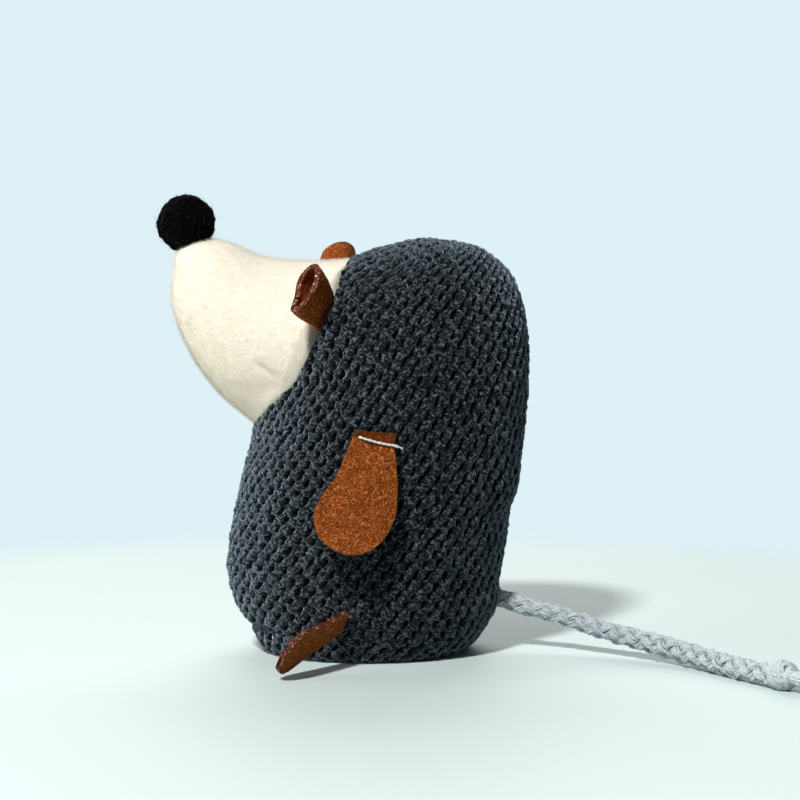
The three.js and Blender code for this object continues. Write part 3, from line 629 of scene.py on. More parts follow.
def twist_group():
    """Twisted yarn: slanted lines across a weave map, broken up a little."""
    if "Twisted yarn" in bpy.data.node_groups:
        return bpy.data.node_groups["Twisted yarn"]
    tree, given, out = node_group(
        "Twisted yarn",
        [("Weave", "NodeSocketVector", None), ("Lines across", "NodeSocketFloat", 4.0),
         ("Lines along", "NodeSocketFloat", -1.8), ("Break", "NodeSocketFloat", 0.35)],
        ["Line", "Height"])
    parts = add(tree, "ShaderNodeSeparateXYZ", {0: given["Weave"]}).outputs
    broken = grain(tree, given["Weave"], 2.3, 2.0)
    across = maths(tree, "MULTIPLY", parts["X"], given["Lines across"])
    place = maths(tree, "MULTIPLY_ADD", parts["Y"], given["Lines along"], across)
    place = maths(tree, "MULTIPLY_ADD", broken, given["Break"], place)
    wave = maths(tree, "SINE", maths(tree, "MULTIPLY", place, 2 * math.pi))
    line = maths(tree, "MULTIPLY_ADD", wave, 0.5, 0.5)
    join(tree, out["Line"], line)
    join(tree, out["Height"], maths(tree, "MULTIPLY_ADD", broken, 0.4, line))
    return tree


def finish_of(name, roughness, sheen=0.0, sheen_roughness=0.5, sheen_tint=(1.0, 1.0, 1.0)):
    """A new material's tree and shader."""
    material = bpy.data.materials.new(name)
    material.use_nodes = True
    shader = material.node_tree.nodes["Principled BSDF"]
    shader.inputs["Roughness"].default_value = roughness
    shader.inputs["Specular IOR Level"].default_value = 0.06
    shader.inputs["Sheen Weight"].default_value = sheen
    shader.inputs["Sheen Roughness"].default_value = sheen_roughness
    shader.inputs["Sheen Tint"].default_value = (*sheen_tint, 1.0)
    return material, material.node_tree, shader.inputs


def bump(tree, shader, height, strength, distance):
    made = add(tree, "ShaderNodeBump", {"Height": height, "Strength": strength, "Distance": distance})
    join(tree, shader["Normal"], made.outputs["Normal"])


def scaled(colour, factor):
    return tuple(min(1.0, channel * factor) for channel in colour)


def object_place(tree):
    return add(tree, "ShaderNodeTexCoord").outputs["Object"]


def woven(tree):
    return add(tree, "ShaderNodeUVMap", uv_map="weave").outputs["UV"]


def held(tree, name):
    """A value that the piece's points hold."""
    return add(tree, "ShaderNodeAttribute", attribute_name=name).outputs["Fac"]


def stretched(tree, vector, rotation, scale):
    """Places turned by degrees, then drawn out along each axis."""
    return add(tree, "ShaderNodeMapping", {
        "Vector": vector, "Rotation": [math.radians(turn) for turn in rotation], "Scale": scale},
        vector_type="TEXTURE").outputs["Vector"]


def matted(tree, cloud_scale, fleck_scale):
    return add(tree, "ShaderNodeGroup", {
        "Vector": object_place(tree), "Cloud scale": cloud_scale, "Fleck scale": fleck_scale},
        node_tree=fibre_group()).outputs


def twisted(tree, across, along, broken):
    return add(tree, "ShaderNodeGroup", {
        "Weave": woven(tree), "Lines across": across, "Lines along": along, "Break": broken},
        node_tree=twist_group()).outputs


def knit_material(colours):
    """Slate yarn: fuzzy bobbles with speckled fibres, and painted shade that makes the gaps near-black."""
    material, tree, shader = finish_of("Slate knit", 0.9, 1.0, 0.3, (0.65, 0.86, 1.0))
    pit_shade = held(tree, "pit_shade")
    fibre = matted(tree, 420.0, 1700.0)
    strokes = [grain(tree, stretched(tree, woven(tree), (0, 0, lean), (1.3, 0.6, 1.0)), 1.0, 1.5, Roughness=0.6,
                     Distortion=0.4) for lean in (-38, 38)]
    stroke = maths(tree, "MAXIMUM", *strokes)
    bright = ranged(tree, stroke, 0.55, 0.68)
    shade = mixed(tree, fibre["Cloud"], scaled(colours.yarn, 0.12), scaled(colours.yarn, 0.4))
    shade = mixed(tree, bright, shade, scaled(colours.yarn, 4.8))
    # Painted shade: holes, creases between clumps, the tucked neck edge and the lining are drawn near-black; loose
    # fibres, marked below zero, take a lighter yarn.
    shade = mixed(tree, ranged(tree, pit_shade, 0.1, 0.6), shade, scaled(colours.yarn, 0.03))
    shade = mixed(tree, ranged(tree, pit_shade, -0.1, -0.3), shade, scaled(colours.yarn, 2.2))
    join(tree, shader["Base Color"], shade)
    bump(tree, shader, maths(tree, "MULTIPLY_ADD", fibre["Height"], 0.3, stroke), 1.0, 0.0007)
    return material


def plush_material(colours):
    """Cream pile: soft clumps, fine fibres and the faint rows that the pile stands in."""
    material, tree, shader = finish_of("Cream plush", 0.95, 0.5, 0.5, (1.0, 0.97, 0.88))
    fibre = matted(tree, 180.0, 1500.0)
    rows = stretched(tree, object_place(tree), (0, 12, 0), (0.003, 0.003, 0.00055))
    nap = grain(tree, rows, 1.0, 2.0, Roughness=0.6)
    shade = mixed(tree, maths(tree, "MULTIPLY", fibre["Cloud"], 0.3), colours.plush, scaled(colours.plush, 0.94))
    warm = tuple(part * share for part, share in zip(colours.plush, (0.985, 0.945, 0.88)))
    shade = mixed(tree, ranged(tree, nap, 0.54, 0.4), shade, warm)
    join(tree, shader["Base Color"], shade)
    bump(tree, shader, maths(tree, "MULTIPLY_ADD", nap, 1.2, fibre["Height"]), 0.2, 0.0003)
    return material


def felt_material(colours):
    """Pressed brown felt: matted fibres with pale flecks."""
    material, tree, shader = finish_of("Brown felt", 0.85, 0.05, 0.4, (1.0, 0.6, 0.3))
    edge = held(tree, "edge")
    fibre = matted(tree, 260.0, 2000.0)
    shade = mixed(tree, fibre["Cloud"], colours.felt, scaled(colours.felt, 0.55))
    shade = mixed(tree, maths(tree, "POWER", fibre["Fleck"], 2.6), shade, (0.84, 0.275, 0.063))
    shade = mixed(tree, ranged(tree, edge, 0.9, 0.15, 0.0, 0.75), shade, scaled(colours.felt, 0.4))
    join(tree, shader["Base Color"], shade)
    bump(tree, shader, fibre["Height"], 0.8, 0.0003)
    return material


def felt_edge_material(colours):
    """The felt's cut edge, melted dark and glossy, with bright specks painted in as glints."""
    material, tree, shader = finish_of("Melted felt edge", 0.5)
    shader["Specular IOR Level"].default_value = 0.12
    fibre = matted(tree, 500.0, 1500.0)
    shade = mixed(tree, fibre["Cloud"], scaled(colours.felt_edge, 0.7), scaled(colours.felt_edge, 1.5))
    # Painted highlight: the bright specks stand in for glints on the melted edge.
    shade = mixed(tree, maths(tree, "POWER", fibre["Fleck"], 6.0), shade, (0.9, 0.6, 0.42))
    join(tree, shader["Base Color"], shade)
    join(tree, shader["Roughness"], ranged(tree, fibre["Cloud"], 0.0, 1.0, 0.35, 0.7))
    bump(tree, shader, fibre["Height"], 0.8, 0.0003)
    return material


def wool_material(colours):
    """Black felted wool of the nose."""
    material, tree, shader = finish_of("Black wool", 0.95)
    shader["Specular IOR Level"].default_value = 0.04
    hair = held(tree, "hair")
    fibre = matted(tree, 300.0, 1900.0)
    shade = mixed(tree, fibre["Fleck"], scaled(colours.wool, 0.4), scaled(colours.wool, 2.0))
    shade = mixed(tree, hair, shade, (0.3, 0.3, 0.31))
    join(tree, shader["Base Color"], shade)
    bump(tree, shader, fibre["Height"], 0.9, 0.0004)
    return material


def fibre_material(name, colour, roughness, cloud_scale, fleck_scale, dark, strength):
    """A plain fibrous finish."""
    material, tree, shader = finish_of(name, roughness, 0.1)
    fibre = matted(tree, cloud_scale, fleck_scale)
    shade = mixed(tree, fibre["Cloud"], colour, scaled(colour, dark))
    shade = mixed(tree, maths(tree, "MULTIPLY", fibre["Fleck"], 0.4), shade, scaled(colour, 1.15))
    join(tree, shader["Base Color"], shade)
    bump(tree, shader, fibre["Height"], strength, 0.0002)
    return material


def cotton_material(colours):
    """Light grey cotton yarn: fine lines along each strand, and painted shade in the grooves between strands."""
    material, tree, shader = finish_of("Grey cotton", 0.9, 0.1, 0.5)
    groove_shade = held(tree, "pit_shade")
    strand = twisted(tree, 2.0, 0.5, 0.5)
    fibre = matted(tree, 350.0, 2000.0)
    shade = mixed(tree, strand["Line"], scaled(colours.cotton, 0.8), scaled(colours.cotton, 1.05))
    shade = mixed(tree, maths(tree, "MULTIPLY", fibre["Fleck"], 0.5), shade, scaled(colours.cotton, 1.35))
    # Painted shade: grooves, the core and deep yarns are drawn darker.
    shade = mixed(tree, maths(tree, "MULTIPLY", groove_shade, 0.75), shade, scaled(colours.cotton, 0.4))
    join(tree, shader["Base Color"], shade)
    bump(tree, shader, maths(tree, "MULTIPLY_ADD", fibre["Height"], 0.5, strand["Height"]), 0.6, 0.0002)
    return material


FINISHES = {
    "knit": knit_material, "plush": plush_material, "felt": felt_material, "felt_edge": felt_edge_material,
    "wool": wool_material, "cotton": cotton_material,
    "thread": lambda c: fibre_material("White thread", c.thread, 0.7, 900.0, 3500.0, 0.75, 0.4),
    "fibrefill": lambda c: fibre_material("Fibrefill", c.fibrefill, 0.95, 120.0, 900.0, 0.8, 0.8),
    "sachet": lambda c: fibre_material("Sachet sheet", c.sachet, 0.8, 400.0, 1600.0, 0.88, 0.4),
    "herb": lambda c: fibre_material("Dried herb", c.herb, 0.95, 500.0, 1500.0, 0.4, 1.0),
}
_made = {}


def dress(piece, *names):
    """Gives a piece its finishes, each made once."""
    piece.data.materials.clear()
    for name in names:
        if name not in _made:
            _made[name] = FINISHES[name](bpy.context.scene.mouse_colours)
        piece.data.materials.append(_made[name])


def settle(piece, finish, node, body="toy"):
    """Gives a piece its finish, hides the node it stands for and sets the body it rides on."""
    dress(piece, finish)
    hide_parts(node)
    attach(piece, body)


def sizes():
    return bpy.context.scene.mouse_sizes


def box_of(node):
    """The low and high corners of a node's box in millimetres."""
    return [np.array(corner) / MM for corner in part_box(node)]


def joint(name):
    """A joint's place in millimetres."""
    found = next(j for j in frame["joints"] if j["name"] == name)
    return np.array(found["pos_m"]) / MM


# Tail


def tail_line(step):
    """Even points along the tail's middle line, in millimetres."""
    fine = spline(TAIL_ROUTE, np.linspace(0, 1, 800))
    far = running_length(fine)
    places = np.linspace(0, far[-1], int(far[-1] / step) + 1)
    return np.stack([np.interp(places, far, fine[:, k]) for k in range(3)], 1)


def braid(points, radius, pitch, strands, yarns, rng):
    """Flat strands of yarns that pass over and under each other round a core; also weave places and painted groove
    shade, full on the core and on yarns that lie deep.
    """
    far = running_length(points)
    full = np.interp(far / far[-1], BRAID_PLACES, BRAID_FULLNESS)
    frames = frames_along(points)
    half, thick, sides = strands // 2, radius * YARN_SHARE, 8
    core = tube(points, round_section(radius * 0.5, 12), frames)
    parts, weave, groove_shade = [core], [np.zeros((len(core[0]), 2))], [np.ones(len(core[0]))]
    for k in range(strands):
        way = 1 if k % 2 == 0 else -1
        turn = way * 2 * math.pi * far / pitch + 2 * math.pi * (k // 2) / half
        over = way * np.cos(half * turn)
        turn = turn + STRAND_WANDER * np.sin(far * rng.uniform(0.25, 0.5) + rng.uniform(0, 6.3))
        reach = radius * full * (STRAND_RIDE + STRAND_WEAVE * over)
        line = points + round_way(frames[1], frames[2], turn) * reach[:, None]
        outward = unit(line - points)
        sideways = unit(np.cross(unit(np.gradient(line, axis=0)), outward))
        for q in range(yarns):
            place = q - (yarns - 1) / 2
            wander = 0.25 * thick * np.sin(far * rng.uniform(0.6, 1.1) + rng.uniform(0, 6.3))
            bow = -0.35 * thick * place**2 + 0.3 * thick * rng.normal()
            yarn = line + sideways * (place * YARN_SPREAD * thick + wander)[:, None] + outward * bow
            made, faces = tube(yarn, round_section(thick, sides))
            parts.append((made, faces))
            around = np.tile(np.arange(sides) / sides, len(yarn))
            weave.append(np.stack([around, np.repeat(far / (2 * thick), sides) + k * 3.7 + q], 1))
            out = np.einsum("ij,ij->i", made - np.repeat(points, sides, 0), np.repeat(outward, sides, 0))
            out = out / np.repeat(radius * full, sides)
            groove_shade.append(1 - smooth(0.6, 0.86, out))
    points_all, faces = gather(parts)
    return points_all, faces, np.concatenate(weave), np.concatenate(groove_shade)


def yarn_bundle(lines, radius, sides, taper=None, lobes=5):
    """Separate soft strands along given lines, with weave places and no painted groove shade."""
    parts, weave = [], []
    for k, line in enumerate(lines):
        parts.append(tube(line, round_section(radius, sides, radius * 0.08, lobes), None, taper))
        far = running_length(line)
        weave.append(np.stack([np.tile(np.arange(sides) / sides, len(line)),
                               np.repeat(far / (2 * radius), sides) + k * 2.3], 1))
    points, faces = gather(parts)
    return points, faces, np.concatenate(weave), np.zeros(len(points))


def cotton_piece(name, made, node, body, kind, rng):
    """A piece of yarn that stays above the floor, from points, faces, weave places and painted groove shade."""
    points, faces, weave, groove_shade = made
    piece = fuzzed(new_piece(name, points, faces), None, kind, COTTON_FUZZ, rng)
    every = points_of(piece)
    set_points(piece, np.maximum(every, [-math.inf, -math.inf, FLOOR_CLEARANCE]))
    extra = len(every) - len(points)
    set_weave(piece, np.concatenate([weave, np.zeros((extra, 2))]))
    set_attribute(piece, "pit_shade", np.concatenate([groove_shade, np.zeros(extra)]))
    settle(piece, "cotton", node, body)
    return piece


def wraps(centre, way, radius, thick, turns, length, steps=150):
    """A strand wound round an axis."""
    way = unit(way)
    side = unit(np.cross(way, UP))
    top = np.cross(side, way)
    share = np.linspace(0, 1, steps)
    turn = share * turns * 2 * math.pi
    swell = radius - thick * 0.35 * np.abs(2 * share - 1) ** 2
    return centre + way * ((share - 0.5) * length)[:, None] + round_way(side, top, turn) * swell[:, None]


def plies(points, radius, pitch, count=2):
    """Lines twisted round a line."""
    far = running_length(points)
    _, side, other = frames_along(points)
    lines = []
    for k in range(count):
        turn = 2 * math.pi * (far / pitch + k / count)
        lines.append(points + round_way(side, other, turn) * radius)
    return lines


def yarn_ball(centre, way, half_long, half_wide, rings, rng):
    """Two crossing layers of yarn rings round a ball."""
    side = unit(np.cross(way, UP))
    top = np.cross(side, way)
    turn = np.linspace(0, 2 * math.pi, 61)
    lines = []
    for layer, slant in enumerate((-1.6, 1.6)):
        for k in range(rings):
            along = 0.62 * half_long * (2 * (k + 0.5) / rings - 1) + (slant + rng.normal(0, 0.2)) * np.cos(
                turn + 0.9 * layer + rng.normal(0, 0.15))
            along = np.clip(along, -0.93 * half_long, 0.93 * half_long)
            reach = half_wide * np.sqrt(1 - (along / half_long) ** 2) * (1 + 0.04 * np.sin(3 * turn + k + 2 * layer))
            lines.append(centre + way * along[:, None] + round_way(side, top, turn) * reach[:, None])
    return lines


class MOUSE_OT_tail(bpy.types.Operator):
    """Braids the tail and ends it in its whipped knot and tuft"""

    bl_idname = "mouse.tail"
    bl_label = "Tail"

    def execute(self, context):
        rng = np.random.default_rng(11)
        diameter = sizes().cord / MM
        line = tail_line(0.5)
        way = unit((line[-1] - line[-6]) * np.array([1.0, 1.0, 0.0]))
        start = line[0] - unit(line[1] - line[0]) * 2.0
        cord_line = np.concatenate([np.linspace(start, line[0], 5)[:-1], line, line[-1:] + way * 0.6])
        cord_line[:, 2] = np.maximum(cord_line[:, 2], diameter / 2)
        made = braid(cord_line, diameter / 2, sizes().braid_pitch / MM, BRAID_STRANDS, BRAID_YARNS, rng)
        cord = cotton_piece("tail_braid", made, "tail_cord", "tail", "braid", rng)

        knot_middle = line[-1] + way * (GAP + TAIL_KNOT_LENGTH / 2)
        knot_middle[2] = KNOT_HEIGHT
        core = [np.linspace(knot_middle - way * 3.2, knot_middle + way * 3.4, 24)]
        rings = yarn_ball(knot_middle, way, KNOT_HALF_LENGTH, KNOT_HALF_WIDTH, KNOT_RINGS, rng)
        made = [yarn_bundle(rings, 0.4, 8), yarn_bundle(core, 2.5, 20)]
        points, faces = gather([(m[0], m[1]) for m in made])
        weave = np.concatenate([m[2] for m in made])
        far_in = np.linalg.norm((points - knot_middle) / KNOT_HALF_LENGTH, axis=1)
        points[:, 2] = np.maximum(points[:, 2], FLOOR_CLEARANCE)
        # Painted shade: points deep inside the knot are drawn darker.
        knot = cotton_piece("tail_whipping", (points, faces, weave, 1 - smooth(0.78, 0.92, far_in)),
                            "tail_knot", "tail", "knot", rng)

        tuft_start = knot_middle + way * (TAIL_KNOT_LENGTH / 2 - 0.6)
        side = unit(np.cross(way, UP))
        lines, share = [], np.linspace(0, 1, 26)
        for _ in range(TUFT_STRANDS):
            turn, reach = rng.uniform(0, 2 * math.pi), math.sqrt(rng.random())
            root = tuft_start + (side * math.cos(turn) + UP * math.sin(turn)) * reach * 1.3
            reach_end = rng.uniform(0.8, 1.0) * (TAIL_TUFT_LENGTH + 0.6)
            drift = side * (math.cos(turn) * reach * 2.2 + rng.normal(0, 0.5)) + UP * (
                math.sin(turn) * reach * 1.6 - 0.9)
            wave = np.sin(share * rng.uniform(3, 6) + rng.uniform(0, 6))[:, None] * side * 0.25
            strand = root + way * (share * reach_end)[:, None] + drift * (share**1.5)[:, None] + wave
            strand[:, 2] = np.clip(strand[:, 2], TUFT_LOW, TUFT_HIGH)
            lines.append(strand)
        tuft = cotton_piece("tail_ends", yarn_bundle(lines, 0.5, 9, 1 - 0.55 * share**4, 3), "tail_tuft", "tail",
                            "tuft", rng)

        low, high = box_of("tail_inner_knot")
        middle = (low + high) / 2
        middle[0] = low[0] + 5.5
        loops = [wraps(middle + np.array([shift, 0, 0]), np.array(axis), 2.9, 1.7, 1.3, 2.2)
                 for shift, axis in ((-1.6, (1, 0.2, 0.1)), (0.9, (0.9, -0.25, 0.35)))]
        cotton_piece("tail_stopper", yarn_bundle(loops, 1.9, 20), "tail_inner_knot", "toy", "stopper", rng)
        return {"FINISHED"}


# Body


def knit_height(s, t, pitch, row, depth, seed):
    """Relief of the knit at arc places s and t: staggered clumps of yarn, and how deep in a hole or crease each place
    lies, which sets its painted shade.
    """
    shift = np.random.default_rng(seed).normal(0, 1, (64, 64, 4))
    clump_wide, clump_tall, clump_slant = 0.5 * pitch, 0.7 * row, 0.12
    slit_wide, slit_tall, slit_slant = 0.16 * pitch, 0.52 * row, 0.4
    nearest = np.full(len(s), 9.0)
    swell, hole = np.zeros(len(s)), np.zeros(len(s))
    for way in (-1, 0, 1):
        j = np.round(t / row).astype(int) + way
        for step in (-1, 0, 1):
            i = np.round(s / pitch - 0.5 * (j % 2)).astype(int) + step
            own = shift[i % 64, j % 64]
            ds = s - (i + 0.5 * (j % 2)) * pitch - 0.25 * own[:, 0]
            dt = t - j * row - 0.2 * own[:, 1]
            away = np.sqrt(((ds - clump_slant * dt) / clump_wide) ** 2 + (dt / clump_tall) ** 2)
            closer = away < nearest
            nearest = np.where(closer, away, nearest)
            swell = np.where(closer, own[:, 2], swell)
            size = 1 + 0.15 * own[:, 3]
            slit = ds - 0.5 * pitch - slit_slant * dt
            beside = np.sqrt((slit / slit_wide) ** 2 + (dt / slit_tall) ** 2) / size
            hole = np.maximum(hole, 1 - smooth(0.55, 1.1, beside))
    dome = np.sqrt(np.clip(1 - (0.92 * nearest) ** 2, 0, 1))
    # Painted shade: the creases between clumps are drawn darker.
    crease = 0.5 * smooth(0.72, 1.05, nearest)
    return (0.7 + 0.1 * swell) * dome - 0.3 - depth * hole, np.maximum(hole, crease)


def knit_grid(row_steps, step, inset):
    """Rows of the left panel: per row the arc places, turns and ring shares, from the base seam to the crown."""
    turns = np.linspace(0, math.pi, 500)
    seam = base_seam(turns)
    middle = np.array([math.pi / 2])
    seam_side = base_seam(middle)
    fine = np.linspace(0, 1, 900)
    side = body_surface(seam_side + (1 - seam_side) * fine, np.full(900, math.pi / 2))
    far = running_length(side)
    rows = []
    for t in row_steps(far[-1]):
        w = np.interp(t, far, fine)
        points = body_surface(seam + (1 - seam) * w, turns)
        arc = running_length(points)
        arc -= np.interp(math.pi / 2, turns, arc)
        ahead = np.flatnonzero(beyond_neck(points) > -inset)
        first = 0.0
        if len(ahead):
            k = ahead[-1]
            cut = beyond_neck(points[k:k + 2]) + inset
            first = turns[k] + (turns[k + 1] - turns[k]) * cut[0] / (cut[0] - cut[1])
        low, high = np.interp([first, math.pi], turns, arc)
        inner = np.arange(math.ceil((low + 0.4 * step) / step), math.floor((high - 0.4 * step) / step) + 1) * step
        places = np.concatenate([[low], inner, [high]])
        turn = np.interp(places, arc, turns)
        ring = np.interp(turn, turns, seam) * (1 - w) + w
        rows.append({"t": t, "w": w, "s": places, "turn": turn, "ring": ring})
    rows.append({"t": far[-1], "w": 1.0, "s": np.zeros(1), "turn": middle, "ring": np.ones(1)})
    return rows


def rows_mesh(rows):
    """Points, triangles and the boundary loop of a panel made of rows."""
    points, faces, index, start = [], [], [], 0
    for row in rows:
        points.append(body_surface(row["ring"], row["turn"]))
        index.append(np.arange(start, start + len(row["s"])))
        start += len(row["s"])
    for k in range(len(rows) - 1):
        faces += zip_rows(index[k], rows[k]["s"], index[k + 1], rows[k + 1]["s"])
    rim = [*index[0], *(i[-1] for i in index[1:]), *(i[0] for i in index[-2:0:-1])]
    return np.concatenate(points), faces, np.array(rim)


def rim_faces(outer, outer_points, inner, inner_points):
    """Triangles that close the edge between two boundary loops which start at the same corner."""
    loops = []
    for ids, points in ((outer, outer_points), (inner, inner_points)):
        ids = np.append(ids, ids[0])
        far = running_length(points[ids])
        loops.append((ids, far / far[-1]))
    return [(b, a, c) for a, b, c in zip_rows(*loops[0], *loops[1])]


def edge_distance(points, loop):
    """Distance of each point from a boundary loop."""
    ends = np.concatenate([loop, loop[:1]])
    far = running_length(ends)
    places = np.arange(0, far[-1], 0.3)
    dense = np.stack([np.interp(places, far, ends[:, k]) for k in range(3)], 1)
    tree = KDTree(len(dense))
    for k, p in enumerate(dense):
        tree.insert(p, k)
    tree.balance()
    return np.array([tree.find(p)[2] for p in points])


def face_normals(points, faces):
    """Point normals of a triangle mesh."""
    faces = np.asarray(faces)
    a, b, c = (points[faces[:, k]] for k in range(3))
    cross = np.cross(b - a, c - a)
    normals = np.zeros_like(points)
    for k in range(3):
        np.add.at(normals, faces[:, k], cross)
    return unit(normals)


class MOUSE_OT_body(bpy.types.Operator):
    """Knits the two side panels, swells them with stuffing and sews in the base"""

    bl_idname = "mouse.body"
    bl_label = "Body"

    def swell(self):
        """How the stuffing moves a coarse grid of the left panel."""
        rows = knit_grid(lambda top: np.linspace(0, top * 0.97, 27), 100.0, 0.0)[:-1]
        share = np.linspace(0, 1, 27)
        grid = []
        for row in rows:
            low, high = row["s"][0], row["s"][-1]
            turn = np.interp(low + (high - low) * share, row["s"], row["turn"])
            seam = base_seam(turn)
            grid.append(body_surface(seam + (1 - seam) * row["w"], turn))
        grid = np.array(grid)
        stitch = joint("arm_left_swing") + np.array([0.0, 0.0, STITCH_ABOVE_ROOT])
        pinned = sewn_edges(grid) | (np.linalg.norm(grid - stitch, axis=2) < STITCH_HOLD)
        return billow(grid, pinned, sizes().fill_move / MM), rows[-1]["w"]

    def execute(self, context):
        pitch, row = sizes().knit_pitch / MM, sizes().knit_row / MM
        depth, cloth = sizes().knit_depth / MM, sizes().knit_cloth / MM
        step, row_step = pitch / 12, row / 8
        rows = knit_grid(lambda top: np.arange(0, top - row_step, row_step), step, -NECK_OVERLAP)
        points, faces, rim = rows_mesh(rows)
        inner_rows = knit_grid(lambda top: np.arange(0, top - 1.5, 3.0), 3.0, -NECK_OVERLAP)
        inner_points, inner_faces, inner_rim = rows_mesh(inner_rows)
        swelling, top = self.swell()

        def swollen(made, rows_used):
            moved, k = made.copy(), 0
            for r in rows_used:
                count = len(r["s"])
                span = max(r["s"][-1] - r["s"][0], 1e-6)
                share = (r["s"] - r["s"][0]) / span
                if r["w"] < top:
                    moved[k:k + count] += moved_by(swelling, r["w"] / top, share)
                k += count
            return moved

        smooth_points = pulled(swollen(points, rows))
        s = np.concatenate([r["s"] for r in rows])
        t = np.concatenate([np.full(len(r["s"]), r["t"]) for r in rows])
        normals = face_normals(smooth_points, faces)
        edge = edge_distance(smooth_points, smooth_points[rim])
        at_neck = smooth(-3.0, -1.0, beyond_neck(points))
        inner_smooth = pulled(swollen(inner_points, inner_rows))
        inner_normals = face_normals(inner_smooth, inner_faces)
        noise.seed_set(KNIT_NOISE_SEED)
        for side, hand in HANDS.items():
            seed = 3.0 if side == "left" else 31.0
            warp = np.array([noise.noise_vector(Vector(p) / 9.0 + Vector((seed, 0, 0))) for p in smooth_points])
            fine = np.array([noise.noise_vector(Vector(p) / 1.1 + Vector((seed, 5, 0))) for p in smooth_points])
            rng = np.random.default_rng(int(seed))
            height, hole = knit_height(s + 0.5 * warp[:, 0] + 0.4 * fine[:, 0], t + 0.4 * warp[:, 1] + 0.4 * fine[:, 1],
                                       pitch, row, depth, int(seed))
            calm = np.maximum.reduce([smooth(0.0, 0.5, edge), at_neck, smooth(1.2, 0.6, t)])
            at_front = smooth(*FRONT_SEAM, points[:, 0])
            tuck = FRONT_TUCK * at_front * (1 - at_neck) + NECK_TUCK * at_neck
            lift = height * calm + 0.25 * fine[:, 2] + rng.normal(0, KNIT_ROUGHNESS, len(s))
            lift -= tuck * np.exp(-((edge / 0.9) ** 2))
            outer = smooth_points + normals * lift[:, None]
            lining = inner_smooth - inner_normals * (cloth + depth * 0.55)
            every = np.concatenate([outer, lining])
            closed = list(faces) + [(c + len(outer), b + len(outer), a + len(outer)) for a, b, c in inner_faces]
            closed += rim_faces(rim, every, inner_rim + len(outer), every)
            if hand > 0:
                every = every * MIRROR
                closed = [(c, b, a) for a, b, c in closed]
            panel = new_piece(f"body_{side}_knit", every, closed)
            # Painted shade: the holes and creases, the knit's edge where it tucks into the neck seam, and the lining
            # inside the panel are drawn darker.
            hole = np.maximum(hole * calm, 0.6 * at_neck * (1 - smooth(0.2, 0.7, edge)))
            pit_shade = np.concatenate([hole, np.full(len(lining), 0.9)])
            panel = fuzzed(panel, pit_shade < 0.4, "knit", KNIT_FUZZ, rng)
            loose = len(panel.data.vertices) - len(pit_shade)
            set_attribute(panel, "pit_shade", np.concatenate([pit_shade, np.full(loose, -0.5)]))
            places = np.concatenate([np.stack([s, t], 1), np.zeros((len(lining), 2)), rng.uniform(0, 60, (loose, 2))])
            set_weave(panel, places)
            settle(panel, "knit", f"body_{side}_panel")
        self.base(pitch, row, depth, cloth)
        return {"FINISHED"}

    def base(self, pitch, row, depth, cloth):
        """The base panel, flat on the floor and turned up to its seam."""
        columns, rows = 288, 64
        turn = np.linspace(0, 2 * math.pi, columns, endpoint=False)
        seam = base_seam(np.minimum(turn, 2 * math.pi - turn))
        layers = []
        for share in np.linspace(1.0, 0.04, rows):
            at = body_surface(seam * share, np.minimum(turn, 2 * math.pi - turn))
            at[:, 1] = np.where(turn > math.pi, -at[:, 1], at[:, 1])
            layers.append(at)
        points = np.concatenate([np.array(layers).reshape(-1, 3), [[-0.025 * BODY_LENGTH, 0.0, 0.0]]])
        index = np.arange(columns * rows).reshape(rows, columns)
        ring = np.concatenate([index, index[:, :1]], 1)
        key = np.arange(columns + 1)
        faces = []
        for k in range(rows - 1):
            faces += [(c, b, a) for a, b, c in zip_rows(ring[k], key, ring[k + 1], key)]
        faces += [(ring[-1][k], columns * rows, ring[-1][k + 1]) for k in range(columns)]
        normals = face_normals(points, faces)
        if normals[-1][2] > 0:
            faces = [(c, b, a) for a, b, c in faces]
            normals = -normals
        share = np.append(np.repeat(np.linspace(1.0, 0.04, rows), columns), 0.0)
        along = running_length(np.concatenate([layers[0], layers[0][:1]]))[:-1]
        drop = np.cumsum([np.zeros(columns)] + [np.linalg.norm(b - a, axis=1) for a, b in zip(layers, layers[1:])], 0)
        side = knit_height(np.append(np.tile(along, rows), 0.0), np.append(-drop.ravel(), 0.0), pitch, row, depth, 17)
        under = knit_height(points[:, 0], points[:, 1], pitch, row, depth, 18)
        height, hole = (np.where(share > 0.62, a, b) for a, b in zip(side, under))
        at_front = smooth(*FRONT_SEAM, points[:, 0])
        tucked = BASE_TUCK * at_front * smooth(0.9, 1.0, share)
        rough = np.random.default_rng(19).normal(0, KNIT_ROUGHNESS, len(points))
        points = points + normals * (height * (1 - at_front * smooth(0.985, 1.0, share)) + rough - tucked)[:, None]
        points[:, 2] = np.maximum(points[:, 2], 0.0)
        inner = points - normals * cloth
        inner[:, 2] = np.maximum(inner[:, 2], cloth + 0.1)
        count = len(points)
        every = np.concatenate([points, inner])
        closed = list(faces) + [(c + count, b + count, a + count) for a, b, c in faces]
        top = ring[0]
        for k in range(columns):
            a, b = int(top[k]), int(top[k + 1])
            closed += [(a, b, b + count), (a, b + count, a + count)]
        panel = new_piece("base_knit", every, closed)
        # Painted shade: the holes and creases, and the panel's inner side, are drawn darker.
        set_attribute(panel, "pit_shade", np.concatenate([hole, np.full(count, 0.3)]))
        places = np.stack([np.append(np.tile(along, rows), 0.0), np.append(-drop.ravel(), 0.0)], 1)
        set_weave(panel, np.concatenate([places, places]))
        recalculate(panel)
        settle(panel, "knit", "base_panel")


# Head


